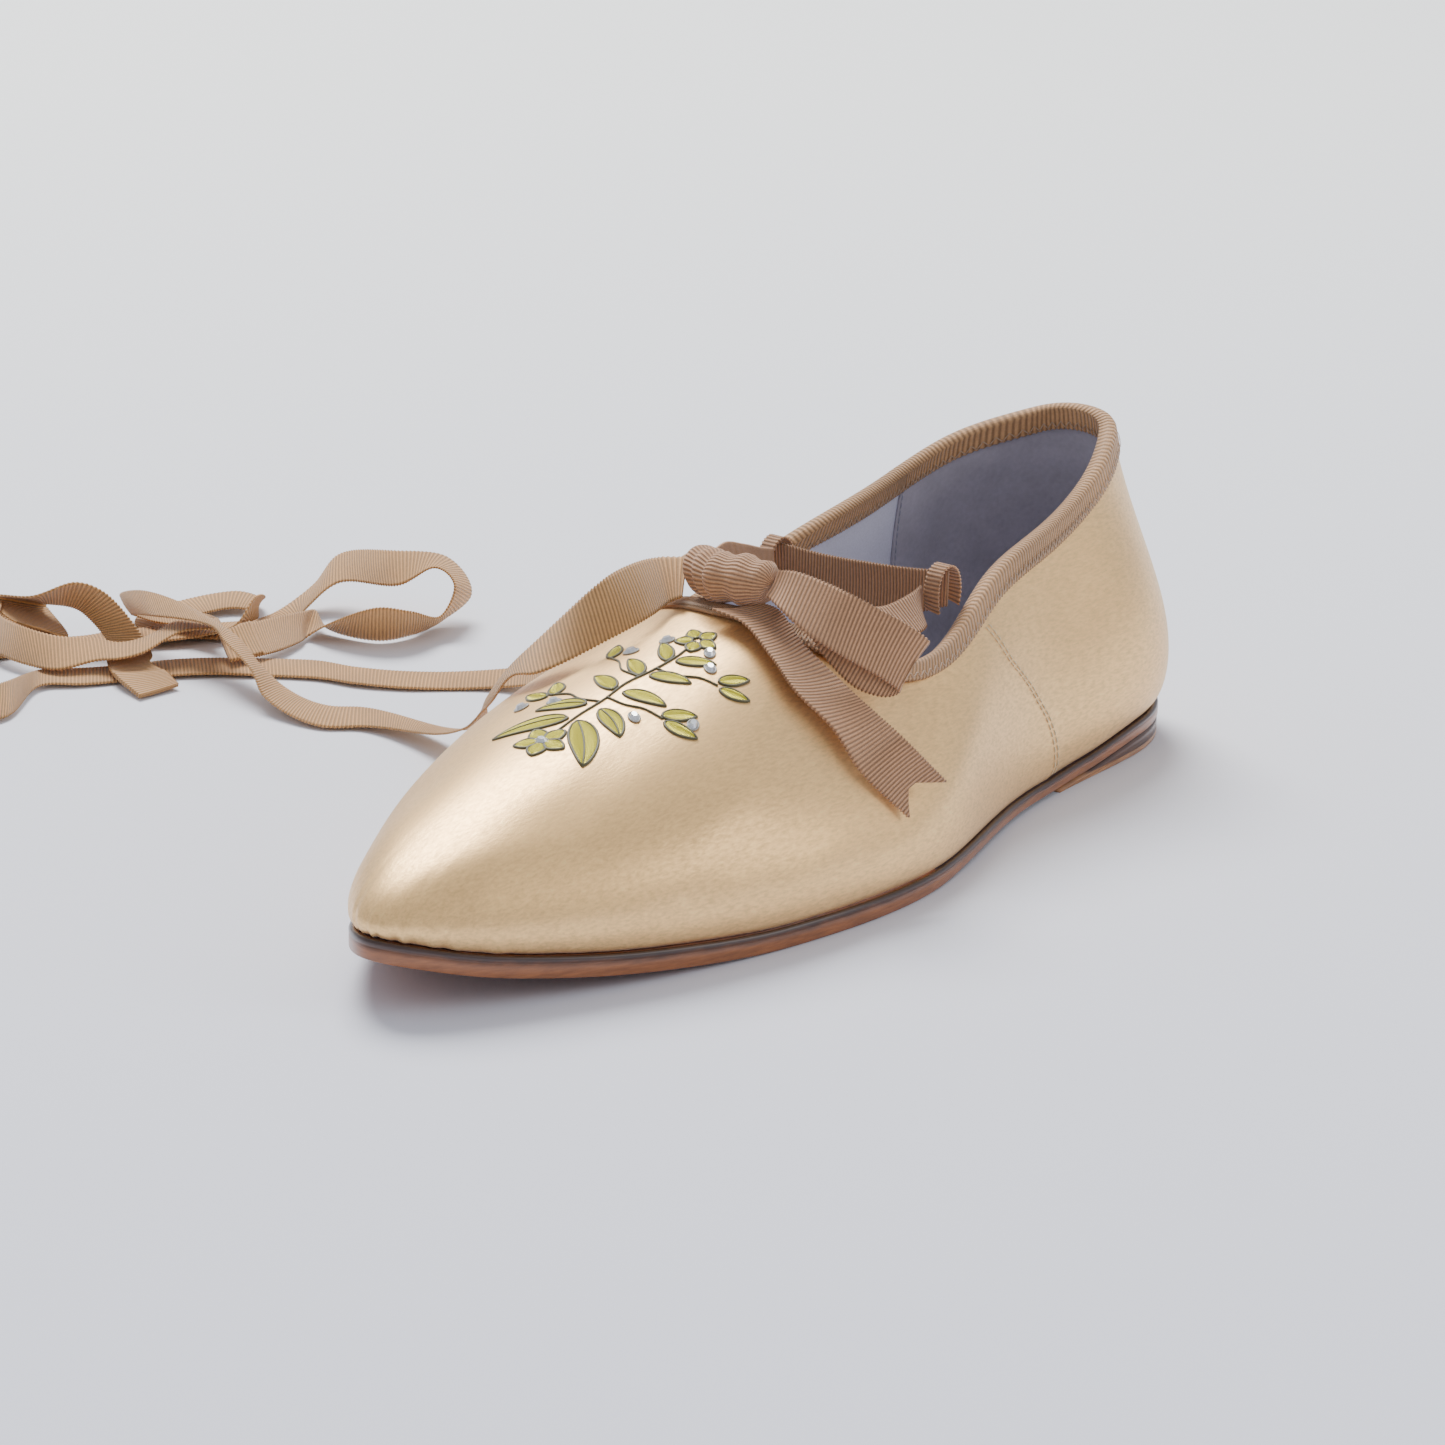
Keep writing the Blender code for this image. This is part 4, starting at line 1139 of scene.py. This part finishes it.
# Leather edge, dark above and light below a blotched line between two heights
def leather_edge_finish(name, dark, light, low, high, height_from_map):
    made, shader = blank_finish(name, 0.33)
    shader.inputs["Coat Weight"].default_value = 0.35
    shader.inputs["Coat Roughness"].default_value = 0.22
    place = place_on(made)
    if height_from_map:
        height = weave_of(made)[1]
    else:
        height = add_node(made, "ShaderNodeSeparateXYZ", {0: place}).outputs[2]
    layers = add_node(made, "ShaderNodeMapping", {"Vector": place})
    layers.inputs["Scale"].default_value = (0.12, 0.12, 1.0)
    streak = noise(made, layers.outputs[0], 1300.0, 4.0, 0.65)
    band = high - low
    wave = maths(made, "MULTIPLY_ADD", noise(made, place, 160.0, 5.0), band * 0.7, height)
    mask = tones(made, wave, 0.0, 1.0, low + band * 0.35, high + band * 0.35)
    mixed = add_node(made, "ShaderNodeMix", {"Factor": mask}, data_type="RGBA")
    mixed.inputs[6].default_value = (*light, 1.0)
    mixed.inputs[7].default_value = (*dark, 1.0)
    dye(made, mixed.outputs[2], tones(made, streak, 0.65, 1.25))
    relief(made, streak, 0.35, 0.12 * MM)
    return made


turn = turns(SOLE_AROUND)
along = along_of(turn)
low = sole_bottom(along)
top_height = sole_top(along)
soft = EDGE_ROUNDING
thick = top_height - low
rows, shares = [], []
# By ring of the edge: inset, height and share of the edge's height
for inset, height, share in (
    (soft * 0.9, low, 0.0),
    (soft * 0.5, low + soft * 0.06, 0.02),
    (soft * 0.12, low + soft * 0.3, 0.06),
    (0.0, low + soft * 0.6, 0.12),
    (0.0, low + thick * 0.45, 0.45),
    (0.0, low + thick * 0.66, 0.66),
    (0.08 * MM, low + thick * 0.69, 0.69),
    (0.0, low + thick * 0.72, 0.72),
    (0.0, top_height - soft * 0.8, 0.82),
    (soft * 0.18, top_height - soft * 0.35, 0.90),
    (soft * 0.5, top_height - soft * 0.1, 0.96),
    (soft, top_height, 1.0),
):
    rows.append(ring(turn, inset, height))
    shares.append(share)
sole = surface("sole_leather_piece", np.stack(rows), weft=np.array(shares)[:, None],
               closed=True, caps=True)
give(sole, leather_edge_finish("sole_edge_leather", (0.045, 0.018, 0.012), (0.30, 0.105, 0.035),
                               0.48, 0.80, True))
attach(sole, "root")
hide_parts("outsole")


# ---------------------------------------------------------------- heel lift
# A wedge of stacked leather under the heel seat, dark and streaked, on a paler wearing piece.
HEEL_LIFT_LENGTH = 62.0 * MM
TOP_PIECE = 1.35 * MM
HEEL_STATIONS = 121
reach = math.acos(1 - 2 * HEEL_LIFT_LENGTH / SOLE_LENGTH) / math.pi
turn = np.linspace(-reach, reach, HEEL_STATIONS)
along = along_of(turn)
lift = lift_top(along)
level = np.minimum(np.full(HEEL_STATIONS, TOP_PIECE), lift * 0.4)
rows = [
    ring(turn, EDGE_ROUNDING * 0.8, np.zeros(HEEL_STATIONS)),
    ring(turn, EDGE_ROUNDING * 0.4, level * 0.12),
    ring(turn, EDGE_ROUNDING * 0.2, level * 0.35),
    ring(turn, EDGE_ROUNDING * 0.2, level * 0.92),
    ring(turn, EDGE_ROUNDING * 0.45, level),
    ring(turn, EDGE_ROUNDING * 0.25, level * 1.08),
    ring(turn, EDGE_ROUNDING * 0.25, (level + lift) / 2),
    ring(turn, EDGE_ROUNDING * 0.25, lift),
]
lift_piece = surface("heel_lift_stack", np.stack(rows), closed=True, caps=True)
give(lift_piece, leather_edge_finish("heel_lift_leather", (0.085, 0.032, 0.016), (0.42, 0.19, 0.075),
                                     1.15 * MM, 1.5 * MM, False))
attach(lift_piece, "root")
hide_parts("heel_lift")


# ---------------------------------------------------------------- embroidery
# A sprig worked by hand on the vamp: padded satin-stitch leaves of yellow-green metal thread
# edged in dark olive, on fine stems, with a five-petalled flower and small clear stones.
mesh_view = bpy.context.evaluated_depsgraph_get()
vamp_tree = BVHTree.FromObject(satin_body, mesh_view)


# Place on the vamp under a point of the plan, raised off the satin
def lay(x, y, lift):
    point, out = vamp_tree.ray_cast(Vector((x, y, 150)) * MM, Vector((0, 0, -1)))[:2]
    return np.array(point + out * lift * MM), np.array(out)


# Sprig by leaf: place of the foot, heading in degrees from the toe, length, width and bend
LEAVES = (
    (1.0, -66.0, -62.0, 15.0, 5.4, 14.0),
    (3.5, -66.0, 58.0, 15.5, 5.8, -12.0),
    (0.5, -60.0, -84.0, 10.5, 4.0, 18.0),
    (4.5, -60.5, 82.0, 10.0, 4.2, -16.0),
    (1.5, -53.0, -128.0, 9.0, 3.4, 12.0),
    (4.2, -53.0, 118.0, 9.5, 3.4, -12.0),
    (2.4, -46.0, -140.0, 8.5, 3.2, 14.0),
    (4.4, -45.0, 132.0, 8.5, 3.2, -14.0),
    (3.2, -38.5, -146.0, 8.0, 3.0, 12.0),
    (5.0, -37.5, 140.0, 8.0, 3.0, -12.0),
    (-10.5, -57.0, -150.0, 7.0, 3.2, 8.0),
    (-12.0, -58.0, -98.0, 7.0, 3.0, -8.0),
    (15.0, -53.5, 150.0, 7.0, 3.2, -8.0),
    (16.5, -54.5, 98.0, 7.0, 3.0, 8.0),
    (-10.0, -40.5, -160.0, 6.5, 2.8, 6.0),
    (15.5, -36.5, 158.0, 6.5, 2.8, -6.0),
    (17.0, -38.0, 112.0, 6.0, 2.6, 6.0),
)
# Stems by point of the plan
STEMS = (
    ((2.5, -71.0), (2.2, -64.0), (2.6, -57.0), (2.2, -50.0), (3.4, -43.0), (3.8, -36.0), (3.0, -29.0)),
    ((2.4, -58.0), (-2.5, -58.5), (-6.5, -57.0), (-10.5, -57.0)),
    ((2.5, -56.0), (7.5, -56.0), (11.0, -54.5), (15.5, -54.0)),
    ((2.6, -46.5), (-2.5, -45.5), (-6.5, -42.0), (-10.0, -40.5)),
    ((3.6, -42.0), (8.0, -41.5), (12.0, -38.5), (16.0, -37.5)),
)
# Flowers: place of the middle, and length and width of a petal
PETALS = ((2.5, -75.5, 4.6, 3.6), (3.0, -28.5, 3.6, 3.0))
PETAL_COUNT = 5
PETAL_FOOT = 0.9
PETAL_TURN = 20
# Stones: place and turn in degrees
STONES = (
    (-7.5, -60.5, 20.0), (-15.0, -62.0, 70.0), (11.5, -58.0, -30.0), (20.5, -50.5, -60.0),
    (-7.0, -37.5, 40.0), (11.5, -34.5, -30.0), (2.5, -75.5, 0.0), (-2.5, -31.5, 60.0),
    (8.0, -30.5, -50.0),
)
LEAF_ROWS = 15
LEAF_COLUMNS = 9
PAD_HEIGHT = 0.42
VEIN_DEPTH = 0.16
STRAND = 0.34
EDGING_RADIUS = 0.34 * MM
STEM_RADIUS = 0.24 * MM
STEM_LIFT = 0.18
STONE_LIFT = 0.35
VEINED_LEAVES = 4
CLEAR_OF_SATIN = 0.10


# One padded leaf: rows along its length, columns across, with the stitches slanting from the vein
def leaf(x, y, heading, length, width, bend):
    along = np.linspace(0, 1, LEAF_ROWS)
    across = np.linspace(-1, 1, LEAF_COLUMNS)
    direction = np.radians(heading + bend * along * 2)
    step = length / (LEAF_ROWS - 1)
    spine_x = x + np.concatenate([[0], np.cumsum(np.sin(direction[1:]) * step)])
    spine_y = y - np.concatenate([[0], np.cumsum(np.cos(direction[1:]) * step)])
    half = width / 2 * np.sin(math.pi * along ** 0.8) ** 0.75 + 0.05
    points = np.zeros((LEAF_ROWS, LEAF_COLUMNS, 3))
    for i in range(LEAF_ROWS):
        for j in range(LEAF_COLUMNS):
            off = across[j] * half[i]
            vein = VEIN_DEPTH * math.exp(-(across[j] / 0.16) ** 2)
            lift = CLEAR_OF_SATIN + PAD_HEIGHT * (1 - across[j] ** 2) ** 0.6 * min(1.0, half[i]) - vein
            x_here = spine_x[i] + off * math.cos(direction[i])
            y_here = spine_y[i] + off * math.sin(direction[i])
            points[i, j] = lay(x_here, y_here, lift)[0]
    slant = (along[:, None] * length + np.abs(across)[None, :] * half[:, None]) / STRAND
    border = np.concatenate([points[:, 0], points[::-1, -1]])
    return surface("leaf", points, slant, across), border, points[:, LEAF_COLUMNS // 2]


# Threads laid on the satin along lines of points
def threads(name, lines, radius):
    shape = bpy.data.curves.new(name, "CURVE")
    shape.dimensions = "3D"
    shape.bevel_depth = radius
    shape.bevel_resolution = 1
    for line in lines:
        spline = shape.splines.new("POLY")
        spline.points.add(len(line) - 1)
        for point, place in zip(spline.points, line):
            point.co = (*place, 1.0)
    made = bpy.data.objects.new(name, shape)
    bpy.context.scene.collection.objects.link(made)
    pick(made)
    bpy.ops.object.convert(target="MESH")
    made.data.shade_smooth()
    return made


def smooth_line(points, count):
    plan = np.array(points)
    place = length_along(plan)
    return curve_through(plan, place, np.diff(place), np.linspace(0, place[-1], count))


fills, borders, veins = [], [], []
for row in LEAVES:
    made, border, vein = leaf(*row)
    fills.append(made)
    borders.append(border)
    veins.append(vein)
for x, y, length, width in PETALS:
    for k in range(PETAL_COUNT):
        heading = 360 / PETAL_COUNT * k + PETAL_TURN
        away = math.radians(heading)
        foot_x = x + math.sin(away) * PETAL_FOOT
        foot_y = y - math.cos(away) * PETAL_FOOT
        made, border = leaf(foot_x, foot_y, heading, length, width, 0.0)[:2]
        fills.append(made)
        borders.append(border)
sprig_fill = join_all(fills, "sprig_leaves")

LIME = (0.74, 0.66, 0.04)
lime_thread, shader = blank_finish("lime_metal_thread", 0.34)
shader.inputs["Metallic"].default_value = 0.55
strand = wave_of(lime_thread, weave_of(lime_thread)[0])
# Painted shade and highlight: the lime darkens to 0.55 of itself between the satin-stitch strands and
# brightens to 1.12 on their crests.
dye(lime_thread, LIME, tones(lime_thread, strand, 0.55, 1.12, -1.0, 1.0))
relief(lime_thread, strand, 0.7, 0.08 * MM)
give(sprig_fill, lime_thread)
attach(sprig_fill, "root")

stems = []
for stem in STEMS:
    stems.append([lay(x, y, STEM_LIFT)[0] for x, y in smooth_line(stem, 8 * len(stem))])
olive_thread = thread_finish("olive_thread", (0.085, 0.075, 0.022), 0.5, 2600.0)
edging = threads("sprig_edging", borders, EDGING_RADIUS)
give(edging, olive_thread)
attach(edging, "root")
lines = threads("sprig_stems", stems + veins[:VEINED_LEAVES], STEM_RADIUS)
give(lines, olive_thread)
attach(lines, "root")

STONE_LENGTH = 1.5 * MM
STONE_WIDTH = 1.05 * MM
STONE_HEIGHT = 0.9 * MM
stones, claws = [], []
for x, y, turned in STONES:
    point, out = lay(x, y, STONE_LIFT)
    spin = Vector((0, 0, 1)).rotation_difference(Vector(out)).to_matrix().to_4x4()
    bpy.ops.mesh.primitive_cone_add(vertices=10, radius1=1.0, radius2=0.55, depth=1.0)
    stone = bpy.context.object
    stone.scale = (STONE_LENGTH, STONE_WIDTH, STONE_HEIGHT)
    stone.rotation_euler = (0, 0, math.radians(turned))
    bpy.ops.object.transform_apply(rotation=True, scale=True)
    stone.data.transform(spin)
    stone.location = point + out * 0.25 * MM
    bpy.ops.object.transform_apply(location=True)
    stones.append(stone)
    bpy.ops.mesh.primitive_torus_add(major_segments=20, minor_segments=6,
                                     major_radius=1.0, minor_radius=0.16)
    claw = bpy.context.object
    claw.scale = (STONE_LENGTH * 1.06, STONE_WIDTH * 1.08, 1.1 * MM)
    claw.rotation_euler = (0, 0, math.radians(turned))
    bpy.ops.object.transform_apply(rotation=True, scale=True)
    claw.data.transform(spin)
    claw.location = point - out * 0.12 * MM
    bpy.ops.object.transform_apply(location=True)
    claw.data.shade_smooth()
    claws.append(claw)
clear_stone, shader = blank_finish("clear_stone", 0.06)
shader.inputs["Metallic"].default_value = 0.35
shader.inputs["Coat Weight"].default_value = 1.0
shader.inputs["Coat Roughness"].default_value = 0.03
# Painted reflections: a cell pattern in the stone's colour, darker in the middle of each cell, stands in
# for facets catching and losing the light.
facet_glints = add_node(clear_stone, "ShaderNodeTexVoronoi", {"Vector": place_on(clear_stone), "Scale": 900.0})
dye(clear_stone, (0.86, 0.88, 0.93), tones(clear_stone, facet_glints.outputs[0], 0.62, 1.0, 0.0, 0.8))
silver = thread_finish("silver_setting", (0.40, 0.39, 0.36), 0.3, 700.0)
for group, name, finish in ((stones, "sprig_stones", clear_stone), (claws, "sprig_settings", silver)):
    joined = join_all(group, name)
    give(joined, finish)
    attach(joined, "root")


# ---------------------------------------------------------------- floor and light
# A seamless pale floor under one broad soft light from behind on the left and a weaker one from the right.
# Its colour is painted darker, cool and slightly lilac towards the viewer, as painted shade away from the
# key light.
FLOOR_SIZE = 9.0
bpy.ops.mesh.primitive_plane_add(size=FLOOR_SIZE, location=(0, 0, 0))
floor = bpy.context.object
floor.name = "floor"
paper, shader = blank_finish("pale_paper", 0.75)
shader.inputs["Specular IOR Level"].default_value = 0.15
# Painted shade: the floor's colour shifts to a darker, cooler tint nearer the viewer, away from the key
# light.
towards = add_node(paper, "ShaderNodeVectorMath",
                   {0: place_on(paper), 1: (-0.64, 0.77, 0.0)}, operation="DOT_PRODUCT")
share = tones(paper, towards.outputs["Value"], 0.0, 1.0, -0.35, 0.9)
mixed = add_node(paper, "ShaderNodeMix", {"Factor": share}, data_type="RGBA")
mixed.inputs[6].default_value = (0.80, 0.82, 0.94, 1.0)
mixed.inputs[7].default_value = (0.86, 0.885, 0.895, 1.0)
connect(paper, mixed.outputs[2], "Base Color")
give(floor, paper)


def soft_light(name, place, size, power, colour):
    lamp = bpy.data.lights.new(name, "AREA")
    lamp.shape = "DISK"
    lamp.size = size
    lamp.energy = power
    lamp.color = colour
    made = bpy.data.objects.new(name, lamp)
    made.location = place
    made.rotation_euler = (-Vector(place)).to_track_quat("-Z", "Y").to_euler()
    bpy.context.scene.collection.objects.link(made)


soft_light("key", (-1.25, 0.75, 2.0), 1.4, 96.0, (1.0, 0.985, 0.96))
soft_light("side", (1.7, 0.9, 0.9), 1.2, 9.0, (1.0, 0.97, 0.93))
sky = bpy.data.worlds.new("studio")
sky.use_nodes = True
sky.node_tree.nodes["Background"].inputs["Color"].default_value = (0.90, 0.93, 1.0, 1.0)
sky.node_tree.nodes["Background"].inputs["Strength"].default_value = 0.66
bpy.context.scene.world = sky
